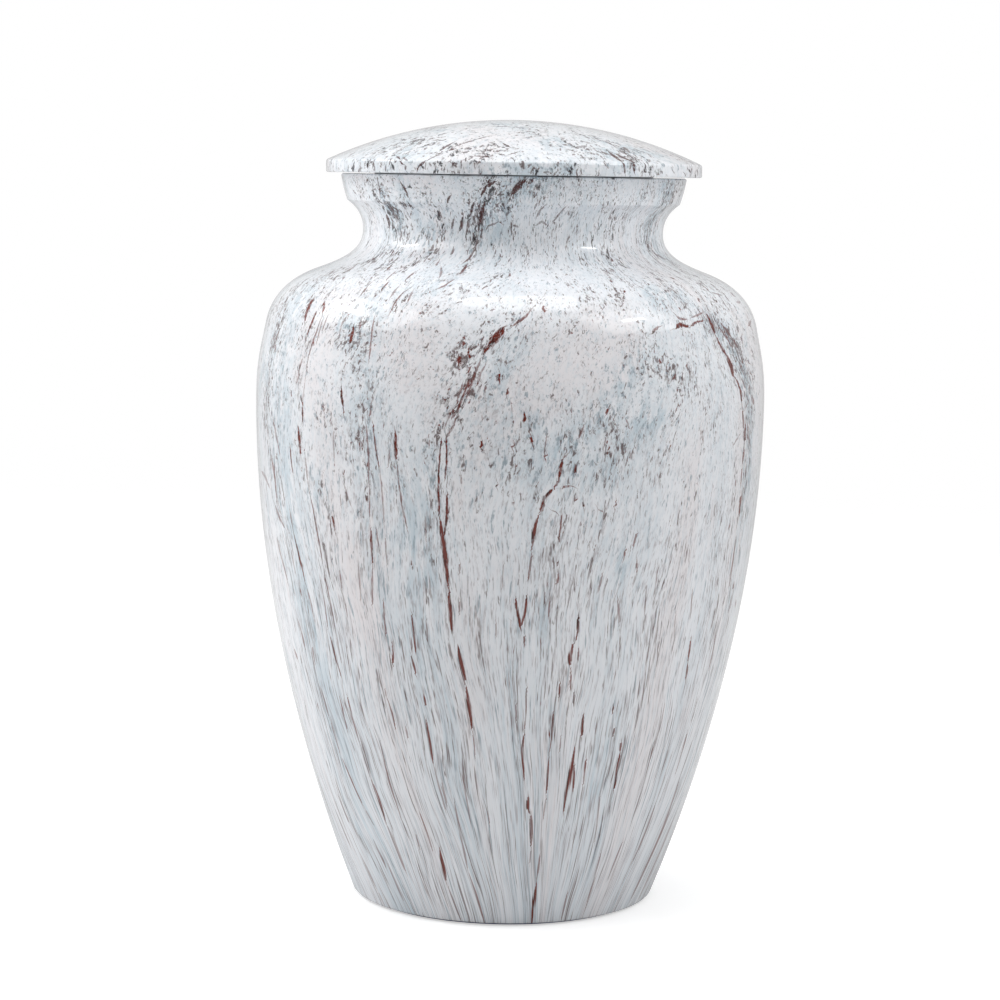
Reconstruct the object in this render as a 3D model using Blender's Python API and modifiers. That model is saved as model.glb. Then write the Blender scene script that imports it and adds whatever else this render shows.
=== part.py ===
"""A cremation urn: a hollow turned vessel, a domed lid that lifts off it, and a felt pad under its foot.

Metres, +Z up. The urn's axis is Z, and the origin is the middle of the pad's underside.
"""

import math
from typing import NamedTuple

import bmesh
import bpy
from mathutils import Vector
from mathutils.geometry import interpolate_bezier

MM = 0.001

# Overall sizes
URN_HEIGHT = 253 * MM
BODY_DIAMETER = 165 * MM

# Heights of the bands, counted down from the crown. The flank takes what is left.
LID_HEIGHT = 17.6 * MM
COLLAR_HEIGHT = 8.4 * MM
THROAT_HEIGHT = 9.4 * MM
SHOULDER_HEIGHT = 54 * MM

# Foot and neck over the outside, then how far each band stands out past the one below it
FOOT_DIAMETER = 98.6 * MM
NECK_DIAMETER = 97 * MM
THROAT_FLARE = 5.2 * MM
COLLAR_FLARE = 2.1 * MM
LID_OVERHANG = 4.8 * MM

# Metal
WALL = 3 * MM
FLOOR = 4 * MM
LID_WALL = 3 * MM
LID_RIM_HEIGHT = 4 * MM
SKIRT_WALL = 3 * MM
SKIRT_DEPTH = 12 * MM

# Felt
PAD_THICKNESS = 0.5 * MM
PAD_INSET = 2.5 * MM

# Fits
PIECE_GAP = 0.3 * MM
SKIRT_CLEARANCE = 0.5 * MM

# Rounded edges
FOOT_EDGE = 1.2 * MM
CREASE_EDGE = 0.8 * MM
MOUTH_EDGE = 0.6 * MM
LID_TOP_EDGE = 1 * MM
LID_FOOT_EDGE = 0.6 * MM
SKIRT_EDGE = 0.8 * MM

# How steeply the outline climbs, from straight outwards, where two sweeps meet
FOOT_SLOPE = math.radians(68.6)
BELLY_SLOPE = math.radians(90)
TURN_SLOPE = math.radians(101)
SHOULDER_SLOPE = math.radians(160)
NECK_SLOPE = math.radians(90)
THROAT_TOP_SLOPE = math.radians(35)
COLLAR_FOOT_SLOPE = math.radians(71)
COLLAR_TOP_SLOPE = math.radians(81)

# How far a sweep keeps to the slope of its end, as a share of the distance to its other end
EVEN_REACH = 1 / 3
BELLY_REACH_UP = 0.48
TURN_REACH_UP = 0.36
SLOPE_REACH_DOWN = 0.38
SLOPE_REACH_UP = 0.5
CREASE_REACH_DOWN = 0.44

# Where the shoulder turns and where it runs out, as shares of its own width and height
TURN_INWARD, TURN_UP = 0.09, 0.45
SLOPE_INWARD, SLOPE_UP = 0.567, 0.765

# How finely the solids are faceted
SEGMENTS = 60
EDGE_STEPS = 2
SWEEP_STEPS = {"flank": 8, "belly": 3, "shoulder": 5, "neck": 5, "throat": 4, "collar": 2}
DOME_STEPS, HOLLOW_STEPS = 7, 4
LIMIT_OF_SMOOTH = math.radians(35)

body_radius = BODY_DIAMETER / 2
foot_radius = FOOT_DIAMETER / 2
neck_radius = NECK_DIAMETER / 2
crease_radius = neck_radius + THROAT_FLARE
collar_radius = crease_radius + COLLAR_FLARE
lid_radius = collar_radius + LID_OVERHANG
bore_radius = neck_radius - WALL
foot_level = PAD_THICKNESS + PIECE_GAP
lid_level = URN_HEIGHT - LID_HEIGHT
mouth_level = lid_level - PIECE_GAP
crease_level = mouth_level - COLLAR_HEIGHT
neck_level = crease_level - THROAT_HEIGHT
belly_level = neck_level - SHOULDER_HEIGHT


class Knot(NamedTuple):
    """A point of the outline, the slope it is passed at, and how far each sweep keeps to that slope."""

    radius: float
    height: float
    slope: float
    reach_down: float = EVEN_REACH
    reach_up: float = EVEN_REACH

    @property
    def point(self):
        return Vector((self.radius, self.height))

    @property
    def way(self):
        return Vector((math.cos(self.slope), math.sin(self.slope)))


def sweep(lower, upper, steps):
    """Points of the smooth curve from one knot up to the next, both ends included."""
    apart = (upper.point - lower.point).length
    leaving = lower.point + lower.way * lower.reach_up * apart
    arriving = upper.point - upper.way * upper.reach_down * apart
    return interpolate_bezier(lower.point, leaving, arriving, upper.point, steps + 1)


def rounded(before, corner, after, radius):
    """The arc of this radius that takes the place of a corner between two straight runs."""
    back = (Vector(before) - Vector(corner)).normalized()
    on = (Vector(after) - Vector(corner)).normalized()
    half = back.angle(on) / 2
    centre = Vector(corner) + (back + on).normalized() * radius / math.sin(half)
    start = (Vector(corner) + back * radius / math.tan(half) - centre).normalized()
    end = (Vector(corner) + on * radius / math.tan(half) - centre).normalized()
    return [centre + start.slerp(end, step / EDGE_STEPS) * radius for step in range(EDGE_STEPS + 1)]


def inside_of(outline, wall):
    """The outline moved inwards by the wall's thickness, square to the surface at each point."""
    moved = []
    for index, point in enumerate(outline):
        way = outline[min(index + 1, len(outline) - 1)] - outline[max(index - 1, 0)]
        inward = Vector((-way.y, way.x)).normalized()
        moved.append(point + inward * wall)
    return moved


def from_level(outline, level):
    """The part of a rising outline that is above a level, starting on that level."""
    above = [point for point in outline if point.y > level]
    below = outline[len(outline) - len(above) - 1]
    share = (level - below.y) / (above[0].y - below.y)
    return [below.lerp(above[0], share)] + above


def arc_over(centre_height, sphere_radius, from_radius, to_radius, steps):
    """Points of a dome, by their distance from the axis."""
    start = math.asin(from_radius / sphere_radius)
    end = math.asin(to_radius / sphere_radius)
    centre = Vector((0, centre_height))
    angles = [start + (end - start) * step / steps for step in range(steps + 1)]
    return [centre + Vector((math.sin(angle), math.cos(angle))) * sphere_radius for angle in angles]


def body_outline():
    """From the floor's middle up the inside, over the mouth and down the outside to the foot's middle."""
    shoulder_width = body_radius - neck_radius
    foot = Knot(foot_radius, foot_level, FOOT_SLOPE)
    belly = Knot(body_radius, belly_level, BELLY_SLOPE, reach_up=BELLY_REACH_UP)
    turn = Knot(
        body_radius - TURN_INWARD * shoulder_width,
        belly_level + TURN_UP * SHOULDER_HEIGHT,
        TURN_SLOPE,
        reach_up=TURN_REACH_UP,
    )
    run_out = Knot(
        body_radius - SLOPE_INWARD * shoulder_width,
        belly_level + SLOPE_UP * SHOULDER_HEIGHT,
        SHOULDER_SLOPE,
        reach_down=SLOPE_REACH_DOWN,
        reach_up=SLOPE_REACH_UP,
    )
    neck = Knot(neck_radius, neck_level, NECK_SLOPE)
    crease = Knot(crease_radius, crease_level, THROAT_TOP_SLOPE, reach_down=CREASE_REACH_DOWN)
    collar_foot = Knot(crease_radius, crease_level, COLLAR_FOOT_SLOPE)
    collar_top = Knot(collar_radius, mouth_level, COLLAR_TOP_SLOPE)

    vessel = (
        sweep(foot, belly, SWEEP_STEPS["flank"])[:-1]
        + sweep(belly, turn, SWEEP_STEPS["belly"])[:-1]
        + sweep(turn, run_out, SWEEP_STEPS["shoulder"])[:-1]
        + sweep(run_out, neck, SWEEP_STEPS["neck"])
    )
    throat = sweep(neck, crease, SWEEP_STEPS["throat"])
    collar = sweep(collar_foot, collar_top, SWEEP_STEPS["collar"])
    foot_edge = rounded((0, foot_level), foot.point, vessel[1], FOOT_EDGE)
    crease_edge = rounded(throat[-2], crease.point, collar[1], CREASE_EDGE)
    mouth_outside = rounded(collar[-2], collar_top.point, (0, mouth_level), MOUTH_EDGE)
    mouth_corner = Vector((bore_radius, mouth_level))
    mouth_inside = rounded(collar_top.point, mouth_corner, (bore_radius, 0), MOUTH_EDGE)
    outside = foot_edge + vessel[1:-1] + throat[:-1] + crease_edge + collar[1:-1] + mouth_outside

    inside = from_level(inside_of(vessel, WALL)[:-1], foot_level + FLOOR)
    bore = [Vector((bore_radius, neck_level))]
    floor_middle = [Vector((0, foot_level + FLOOR))]
    foot_middle = [Vector((0, foot_level))]
    return floor_middle + inside + bore + mouth_inside[::-1] + outside[::-1] + foot_middle


def lid_outline():
    """From the crown down the dome and rim, in under it, round the skirt and up to the hollow's middle."""
    rise = LID_HEIGHT - LID_RIM_HEIGHT
    sphere_radius = (lid_radius**2 + rise**2) / (2 * rise)
    centre_height = LID_HEIGHT - sphere_radius
    skirt_outer = bore_radius - SKIRT_CLEARANCE
    skirt_inner = skirt_outer - SKIRT_WALL

    dome = arc_over(centre_height, sphere_radius, 0, lid_radius, DOME_STEPS)
    hollow = arc_over(centre_height, sphere_radius - LID_WALL, skirt_inner, 0, HOLLOW_STEPS)
    rim_top = Vector((lid_radius, LID_RIM_HEIGHT))
    rim_foot = Vector((lid_radius, 0))
    skirt_root = Vector((skirt_outer, 0))
    skirt_foot = Vector((skirt_outer, -SKIRT_DEPTH))
    skirt_back = Vector((skirt_inner, -SKIRT_DEPTH))
    return (
        dome[:-1]
        + rounded(dome[-2], rim_top, rim_foot, LID_TOP_EDGE)
        + rounded(rim_top, rim_foot, skirt_root, LID_FOOT_EDGE)
        + [skirt_root]
        + rounded(skirt_root, skirt_foot, skirt_back, SKIRT_EDGE)
        + [skirt_back]
        + hollow
    )


def pad_outline():
    """Over the pad from the middle of its top to the middle of its underside."""
    pad_radius = foot_radius - PAD_INSET
    corners = ((0, PAD_THICKNESS), (pad_radius, PAD_THICKNESS), (pad_radius, 0), (0, 0))
    return [Vector(corner) for corner in corners]


def material(name, colour, roughness, metallic=0.0):
    made = bpy.data.materials.new(name)
    made.use_nodes = True
    shader = made.node_tree.nodes["Principled BSDF"]
    shader.inputs["Base Color"].default_value = (*colour, 1)
    shader.inputs["Roughness"].default_value = roughness
    shader.inputs["Metallic"].default_value = metallic
    made.diffuse_color = (*colour, 1)
    return made


def turned(name, outline, finish, height, parent, collection):
    """A solid made by turning an outline once round Z, standing at a height on the urn's axis."""
    profile = bmesh.new()
    corners = [profile.verts.new((point.x, 0, point.y)) for point in outline]
    for corner, following in zip(corners, corners[1:]):
        profile.edges.new((corner, following))
    mesh = bpy.data.meshes.new(name)
    profile.to_mesh(mesh)
    profile.free()

    blank = bpy.data.objects.new(name + "_outline", mesh)
    bpy.context.scene.collection.objects.link(blank)
    screw = blank.modifiers.new("Turn", "SCREW")
    screw.steps = screw.render_steps = SEGMENTS
    screw.use_merge_vertices = True
    screw.merge_threshold = 0.01 * MM
    graph = bpy.context.evaluated_depsgraph_get()
    turned_mesh = bpy.data.meshes.new_from_object(blank.evaluated_get(graph))
    bpy.data.objects.remove(blank)
    bpy.data.meshes.remove(mesh)

    turned_mesh.name = name
    turned_mesh.shade_smooth()
    turned_mesh.set_sharp_from_angle(angle=LIMIT_OF_SMOOTH)
    turned_mesh.materials.append(finish)
    piece = bpy.data.objects.new(name, turned_mesh)
    piece.location.z = height
    piece.parent = parent
    collection.objects.link(piece)


for leftover in list(bpy.data.objects):
    bpy.data.objects.remove(leftover)

urn = bpy.data.collections.new("cremation_urn")
bpy.context.scene.collection.children.link(urn)
axis = bpy.data.objects.new("urn_axis", None)
urn.objects.link(axis)

body_finish = material("body_marbled_lacquer", (0.80, 0.83, 0.87), roughness=0.12)
lid_finish = material("lid_marbled_lacquer", (0.76, 0.79, 0.83), roughness=0.12)
pad_finish = material("navy_felt", (0.03, 0.04, 0.10), roughness=0.95)

turned("urn_body", body_outline(), body_finish, 0, axis, urn)
turned("lid", lid_outline(), lid_finish, lid_level, axis, urn)
turned("base_pad", pad_outline(), pad_finish, 0, axis, urn)
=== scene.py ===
# %% [markdown]
# # A marbled cremation urn
#
# The urn is spun aluminium with a marble print under clear gloss lacquer. It has three pieces: the
# hollow body, the lid that lifts off it, and a thin felt pad glued under the foot.
#
# Each is round about one axis, so each is made by turning an outline, as a spinner or a wood turner
# would. Nearly all of the work is in the print: it is what the eye reads first.

import math
from typing import NamedTuple

import bmesh
import bpy
import numpy as np
from mathutils import Matrix, Vector
from mathutils.geometry import interpolate_bezier


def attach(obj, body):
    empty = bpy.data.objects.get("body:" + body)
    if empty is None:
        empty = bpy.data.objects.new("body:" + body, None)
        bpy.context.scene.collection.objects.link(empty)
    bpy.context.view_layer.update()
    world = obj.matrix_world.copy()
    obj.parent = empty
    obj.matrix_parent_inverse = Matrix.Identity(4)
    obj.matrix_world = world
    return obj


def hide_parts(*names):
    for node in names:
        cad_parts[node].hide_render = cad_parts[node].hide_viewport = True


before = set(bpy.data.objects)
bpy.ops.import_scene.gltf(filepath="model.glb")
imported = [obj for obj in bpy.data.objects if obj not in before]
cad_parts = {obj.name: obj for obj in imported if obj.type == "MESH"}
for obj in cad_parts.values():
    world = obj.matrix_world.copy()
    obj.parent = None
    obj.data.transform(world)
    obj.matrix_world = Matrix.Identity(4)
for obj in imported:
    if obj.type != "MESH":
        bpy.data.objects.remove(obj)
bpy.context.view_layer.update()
print("pieces in the frame:", sorted(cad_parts))

# %% [markdown]
# ## The camera
#
# A camera is matched to a view before anything is modelled, because every later judgement is made
# through it. A long lens from about 0.9 m keeps the sides of the urn nearly parallel. The camera
# looks a little down, so the foot shows as a curve and the collar hides behind the lid.

# %% Set up the camera
MM = 0.001
PICTURE_SIDE = 1000
FOCAL_LENGTH_IN_PIXELS = 2752
CAMERA_PLACE = Vector((-2.75, -895.3, 235.8)) * MM
CAMERA_TILT_DOWN = math.radians(6.765)
CAMERA_ROLL = math.radians(0.961)

camera_lens = bpy.data.cameras.new("camera")
camera_lens.sensor_width = 36
camera_lens.lens = camera_lens.sensor_width * FOCAL_LENGTH_IN_PIXELS / PICTURE_SIDE
camera_lens.clip_start = 0.01
camera_lens.clip_end = 50
camera = bpy.data.objects.new("camera", camera_lens)
camera.matrix_world = (
    Matrix.Translation(CAMERA_PLACE)
    @ Matrix.Rotation(math.pi / 2 - CAMERA_TILT_DOWN, 4, "X")
    @ Matrix.Rotation(CAMERA_ROLL, 4, "Z")
)
bpy.context.scene.collection.objects.link(camera)
bpy.context.scene.camera = camera
print(f"lens {camera_lens.lens:.1f} mm")

# %% [markdown]
# ## The sizes
#
# These are the same sizes as the solid model's, so the fine pieces made here lie exactly where its
# plain ones do. A maker's drawing gives them as heights of bands, counted down from the crown, and
# as diameters.

# %% Name the sizes
URN_HEIGHT = 253 * MM
BODY_DIAMETER = 165 * MM

LID_HEIGHT = 17.6 * MM
COLLAR_HEIGHT = 8.4 * MM
THROAT_HEIGHT = 9.4 * MM
SHOULDER_HEIGHT = 54 * MM

FOOT_DIAMETER = 98.6 * MM
NECK_DIAMETER = 97 * MM
THROAT_FLARE = 5.2 * MM
COLLAR_FLARE = 2.1 * MM
LID_OVERHANG = 4.8 * MM

WALL = 3 * MM
FLOOR = 4 * MM
LID_WALL = 3 * MM
LID_RIM_HEIGHT = 4 * MM
SKIRT_WALL = 3 * MM
SKIRT_DEPTH = 12 * MM

PAD_THICKNESS = 0.5 * MM
PAD_INSET = 2.5 * MM
PIECE_GAP = 0.3 * MM
SKIRT_CLEARANCE = 0.5 * MM

FOOT_EDGE = 1.2 * MM
CREASE_EDGE = 0.8 * MM
MOUTH_EDGE = 0.6 * MM
LID_TOP_EDGE = 1 * MM
LID_FOOT_EDGE = 0.6 * MM
SKIRT_EDGE = 0.8 * MM
PAD_EDGE = 0.15 * MM

# %% Work out the radii and levels
body_radius = BODY_DIAMETER / 2
foot_radius = FOOT_DIAMETER / 2
neck_radius = NECK_DIAMETER / 2
crease_radius = neck_radius + THROAT_FLARE
collar_radius = crease_radius + COLLAR_FLARE
lid_radius = collar_radius + LID_OVERHANG
bore_radius = neck_radius - WALL
foot_level = PAD_THICKNESS + PIECE_GAP
lid_level = URN_HEIGHT - LID_HEIGHT
mouth_level = lid_level - PIECE_GAP
crease_level = mouth_level - COLLAR_HEIGHT
neck_level = crease_level - THROAT_HEIGHT
belly_level = neck_level - SHOULDER_HEIGHT
levels = {"mouth": mouth_level, "neck": neck_level, "belly": belly_level}
print(", ".join(f"{name} at {level / MM:.1f} mm" for name, level in levels.items()))

# %% [markdown]
# ## Smooth outlines
#
# An outline could be a list of many measured points, but a hand-placed list always has small bumps,
# and a gloss finish shows every one. Here the outline has a few knots, each with the slope it is
# passed at, and Bezier curves between them. It is smooth because the slopes agree at the knots.

# %% Knots and the curves between them
EVEN_REACH = 1 / 3
EDGE_STEPS = 5
CLEAR_OF_EDGE = 0.3 * MM


class Knot(NamedTuple):
    """A point of the outline, the slope it is passed at, and how far each sweep keeps to that slope."""

    radius: float
    height: float
    slope: float
    reach_down: float = EVEN_REACH
    reach_up: float = EVEN_REACH

    @property
    def point(self):
        return Vector((self.radius, self.height))

    @property
    def way(self):
        return Vector((math.cos(self.slope), math.sin(self.slope)))


def sweep(lower, upper, steps):
    """Points of the smooth curve from one knot up to the next, both ends included."""
    apart = (upper.point - lower.point).length
    leaving = lower.point + lower.way * lower.reach_up * apart
    arriving = upper.point - upper.way * upper.reach_down * apart
    return interpolate_bezier(lower.point, leaving, arriving, upper.point, steps + 1)


def rounded(before, corner, after, radius):
    """The arc of this radius that takes the place of a corner between two straight runs."""
    back = (Vector(before) - Vector(corner)).normalized()
    on = (Vector(after) - Vector(corner)).normalized()
    half = back.angle(on) / 2
    centre = Vector(corner) + (back + on).normalized() * radius / math.sin(half)
    start = (Vector(corner) + back * radius / math.tan(half) - centre).normalized()
    end = (Vector(corner) + on * radius / math.tan(half) - centre).normalized()
    return [centre + start.slerp(end, step / EDGE_STEPS) * radius for step in range(EDGE_STEPS + 1)]


# %% Helpers for walls, floors and domes
def inside_of(outline, wall):
    """The outline moved inwards by the wall's thickness, square to the surface at each point."""
    moved = []
    for index, point in enumerate(outline):
        way = outline[min(index + 1, len(outline) - 1)] - outline[max(index - 1, 0)]
        inward = Vector((-way.y, way.x)).normalized()
        moved.append(point + inward * wall)
    return moved


def from_level(outline, level):
    """The part of a rising outline that is above a level, starting on that level."""
    above = [point for point in outline if point.y > level]
    below = outline[len(outline) - len(above) - 1]
    share = (level - below.y) / (above[0].y - below.y)
    return [below.lerp(above[0], share)] + above


def arc_over(centre_height, sphere_radius, from_radius, to_radius, steps):
    """Points of a dome, by their distance from the axis."""
    start = math.asin(from_radius / sphere_radius)
    end = math.asin(to_radius / sphere_radius)
    centre = Vector((0, centre_height))
    angles = [start + (end - start) * step / steps for step in range(steps + 1)]
    return [centre + Vector((math.sin(angle), math.cos(angle))) * sphere_radius for angle in angles]


def run(start, end, steps):
    """Points along a straight run, without its last one."""
    return [Vector(start).lerp(Vector(end), step / steps) for step in range(steps)]


# %% [markdown]
# ## Turning an outline into a piece
#
# A turned piece could start from a cylinder and be scaled ring by ring, or from a Screw modifier.
# The spin operator is simpler to follow: the outline is drawn once as a chain of edges and swept
# round the axis. Three things need care afterwards. Points on the axis are swept onto themselves, so
# they are merged. The faces' directions are recalculated so that they point outwards. And each
# corner of the outline first gets its travel, the distance along the outline, as a vertex layer: the
# spin copies it, and the print is laid out by it later.

# %% The turning helper
SEGMENTS = 320
ALL_ROUND = 2 * math.pi
WELD = 0.001 * MM
SHARP_FROM = math.radians(35)


def turned(name, outline, lift=0.0):
    """A closed piece spun from an outline round Z, with the travel along it kept at each vertex."""
    shape = bmesh.new()
    travel = shape.verts.layers.float.new("travel")
    corners = []
    distance = 0.0
    for index, point in enumerate(outline):
        distance += (point - outline[index - 1]).length if index else 0.0
        corner = shape.verts.new((point.x, 0, point.y + lift))
        corner[travel] = distance
        corners.append(corner)
    for corner, following in zip(corners, corners[1:]):
        shape.edges.new((corner, following))
    bmesh.ops.spin(
        shape,
        geom=shape.verts[:] + shape.edges[:],
        cent=(0, 0, 0),
        axis=(0, 0, 1),
        angle=ALL_ROUND,
        steps=SEGMENTS,
        use_merge=True,
        use_duplicate=False,
    )
    bmesh.ops.remove_doubles(shape, verts=shape.verts[:], dist=WELD)
    bmesh.ops.recalc_face_normals(shape, faces=shape.faces[:])
    mesh = bpy.data.meshes.new(name)
    shape.to_mesh(mesh)
    shape.free()
    mesh.shade_smooth()
    mesh.set_sharp_from_angle(angle=SHARP_FROM)
    piece = bpy.data.objects.new(name, mesh)
    bpy.context.scene.collection.objects.link(piece)
    triangles = sum(len(face.vertices) - 2 for face in mesh.polygons)
    print(f"{name}: {len(mesh.vertices)} vertices, {triangles} triangles")
    return piece


# %% [markdown]
# ## The body
#
# The real body is spun or cast as one shell and turned smooth. Its outline climbs from a narrow foot
# over a long flank to the belly, rolls over a round shoulder, draws in to the neck, and flares out
# again through the throat to a short upright collar. The inside follows the outside at the thickness
# of the wall. It is hidden once the lid is on, so it gets fewer steps. Two knots shape the shoulder,
# each placed by its share of the shoulder's width and height from the belly.

# %% Draw the body's outline and turn it
body_slopes = {
    "foot": math.radians(68.6),
    "belly": math.radians(90),
    "turn": math.radians(101),
    "run_out": math.radians(160),
    "neck": math.radians(90),
    "throat_top": math.radians(35),
    "collar_foot": math.radians(71),
    "collar_top": math.radians(81),
}
FLANK_STEPS, BELLY_STEPS, TURN_STEPS, NECK_STEPS, THROAT_STEPS, COLLAR_STEPS = 128, 20, 34, 30, 14, 8
FLOOR_STEPS = 6
INSIDE_EVERY = 6
TURN_INWARD, TURN_UP = 0.09, 0.45
RUN_OUT_INWARD, RUN_OUT_UP = 0.567, 0.765
shoulder_width = body_radius - neck_radius


def body_outline():
    """The vessel's outline, and the place in it where the outside starts at the top of the collar."""
    foot = Knot(foot_radius, foot_level, body_slopes["foot"])
    belly = Knot(body_radius, belly_level, body_slopes["belly"], reach_up=0.48)
    turn = Knot(
        body_radius - TURN_INWARD * shoulder_width,
        belly_level + TURN_UP * SHOULDER_HEIGHT,
        body_slopes["turn"],
        reach_up=0.36,
    )
    run_out = Knot(
        body_radius - RUN_OUT_INWARD * shoulder_width,
        belly_level + RUN_OUT_UP * SHOULDER_HEIGHT,
        body_slopes["run_out"],
        reach_down=0.38,
        reach_up=0.5,
    )
    neck = Knot(neck_radius, neck_level, body_slopes["neck"])
    crease = Knot(crease_radius, crease_level, body_slopes["throat_top"], reach_down=0.44)
    collar_foot = Knot(crease_radius, crease_level, body_slopes["collar_foot"])
    collar_top = Knot(collar_radius, mouth_level, body_slopes["collar_top"])

    vessel = (
        sweep(foot, belly, FLANK_STEPS)[:-1]
        + sweep(belly, turn, BELLY_STEPS)[:-1]
        + sweep(turn, run_out, TURN_STEPS)[:-1]
        + sweep(run_out, neck, NECK_STEPS)
    )
    throat = sweep(neck, crease, THROAT_STEPS)
    collar = sweep(collar_foot, collar_top, COLLAR_STEPS)
    foot_edge = rounded((0, foot_level), foot.point, vessel[2], FOOT_EDGE)
    above_foot = [point for point in vessel if point.y > foot_edge[-1].y + CLEAR_OF_EDGE]
    crease_edge = rounded(throat[-2], crease.point, collar[1], CREASE_EDGE)
    mouth_outside = rounded(collar[-2], collar_top.point, (0, mouth_level), MOUTH_EDGE)
    mouth_inside = rounded(collar_top.point, (bore_radius, mouth_level), (bore_radius, 0), MOUTH_EDGE)
    outside = foot_edge + above_foot[:-1] + throat[:-1] + crease_edge + collar[1:-1] + mouth_outside

    floor_level = foot_level + FLOOR
    inside = from_level(inside_of(vessel[::INSIDE_EVERY], WALL)[:-1], floor_level)
    floor_run = run((0, floor_level), inside[0], FLOOR_STEPS)
    bore = [Vector((bore_radius, neck_level))]
    foot_run = run((0, foot_level), outside[0], FLOOR_STEPS)
    hidden = floor_run + inside + bore + mouth_inside[::-1]
    return hidden + outside[::-1] + foot_run[::-1], len(hidden) + EDGE_STEPS


body_profile, collar_start = body_outline()
urn_body = turned("urn_body_fine", body_profile)

# %% [markdown]
# ## The lid
#
# The lid is a shallow dome with a short upright rim. Under it a plain skirt goes down into the bore
# and keeps the lid centred. The dome is part of a sphere, whose radius follows from the lid's width
# and rise, and the hollow below it is the same sphere less the wall.

# %% Draw the lid's outline and turn it
DOME_STEPS, HOLLOW_STEPS, RIM_STEPS, SKIRT_STEPS = 76, 14, 4, 4


def lid_outline():
    """From the crown down dome and rim, in under it, round the skirt and up to the hollow's middle."""
    rise = LID_HEIGHT - LID_RIM_HEIGHT
    sphere_radius = (lid_radius**2 + rise**2) / (2 * rise)
    centre_height = LID_HEIGHT - sphere_radius
    skirt_outer = bore_radius - SKIRT_CLEARANCE
    skirt_inner = skirt_outer - SKIRT_WALL

    dome = arc_over(centre_height, sphere_radius, 0, lid_radius, DOME_STEPS)
    hollow = arc_over(centre_height, sphere_radius - LID_WALL, skirt_inner, 0, HOLLOW_STEPS)
    rim_top = Vector((lid_radius, LID_RIM_HEIGHT))
    rim_foot = Vector((lid_radius, 0))
    skirt_root = Vector((skirt_outer, 0))
    skirt_foot = Vector((skirt_outer, -SKIRT_DEPTH))
    skirt_back = Vector((skirt_inner, -SKIRT_DEPTH))
    top_edge = rounded(dome[-2], rim_top, rim_foot, LID_TOP_EDGE)
    foot_edge = rounded(rim_top, rim_foot, skirt_root, LID_FOOT_EDGE)
    return (
        [point for point in dome if point.x < top_edge[0].x - CLEAR_OF_EDGE]
        + top_edge
        + run(top_edge[-1], foot_edge[0], RIM_STEPS)[1:]
        + foot_edge
        + run(foot_edge[-1], skirt_root, RIM_STEPS)[1:]
        + run(skirt_root, skirt_foot, SKIRT_STEPS)
        + rounded(skirt_root, skirt_foot, skirt_back, SKIRT_EDGE)
        + run(skirt_back, hollow[0], SKIRT_STEPS)
        + hollow
    )


lid = turned("lid_fine", lid_outline(), lift=lid_level)

# %% [markdown]
# ## The felt pad
#
# A thin disc of pressed felt keeps the metal off the shelf. It is cut a little smaller than the
# foot, so only its edge shows, as a dark line under the urn. Its rim is slightly rounded, as cut
# felt is.

# %% Turn the pad
PAD_STEPS = 8


def pad_outline():
    """Over the pad from the middle of its top to the middle of its underside."""
    pad_radius = foot_radius - PAD_INSET
    top_edge = rounded((0, PAD_THICKNESS), (pad_radius, PAD_THICKNESS), (pad_radius, 0), PAD_EDGE)
    foot_edge = rounded((pad_radius, PAD_THICKNESS), (pad_radius, 0), (0, 0), PAD_EDGE)
    over = run((0, PAD_THICKNESS), top_edge[0], PAD_STEPS)
    under = run(foot_edge[-1], (0, 0), PAD_STEPS) + [Vector((0, 0))]
    return over + top_edge + foot_edge[:-1] + under


base_pad = turned("base_pad_fine", pad_outline())

# %% [markdown]
# ## Where the print lies
#
# The print is a film that is floated on water and wrapped round the urn as it is dipped. The film
# stretches where the shape swells and gathers where it narrows, so the flecks are short at the
# shoulder and drawn into long grain towards the foot.
#
# Two numbers place a point of the print: how far round it is from the front, in degrees, and how far
# it has travelled down the surface from the top edge, in millimetres. Both are worked out with numpy
# from the vertices, because a shader has no idea of distance along an outline.

# %% Measure each vertex of a piece
def measure(piece):
    """Each vertex's place in degrees round from the front, its travel in mm, and its radius in mm."""
    mesh = piece.data
    places = np.empty(len(mesh.vertices) * 3)
    mesh.vertices.foreach_get("co", places)
    places = places.reshape(-1, 3) / MM
    travel = np.empty(len(mesh.vertices))
    mesh.attributes["travel"].data.foreach_get("value", travel)
    round_from_front = np.degrees(np.arctan2(places[:, 0], -places[:, 1]))
    radius = np.hypot(places[:, 0], places[:, 1])
    return round_from_front, travel / MM, radius


def keep(piece, name, values):
    """Stores three numbers for each vertex, for a material to read."""
    made = piece.data.attributes.new(name, "FLOAT_VECTOR", "POINT")
    made.data.foreach_set("vector", values.ravel().astype(np.float32))


outline_steps = [(b - a).length for a, b in zip(body_profile, body_profile[1:])]
outline_travel = np.cumsum([0] + outline_steps) / MM
collar_travel = outline_travel[collar_start]
print_length = outline_travel[-1] - collar_travel - foot_radius / MM
print(f"the print runs {print_length:.0f} mm from collar to foot")
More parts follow.
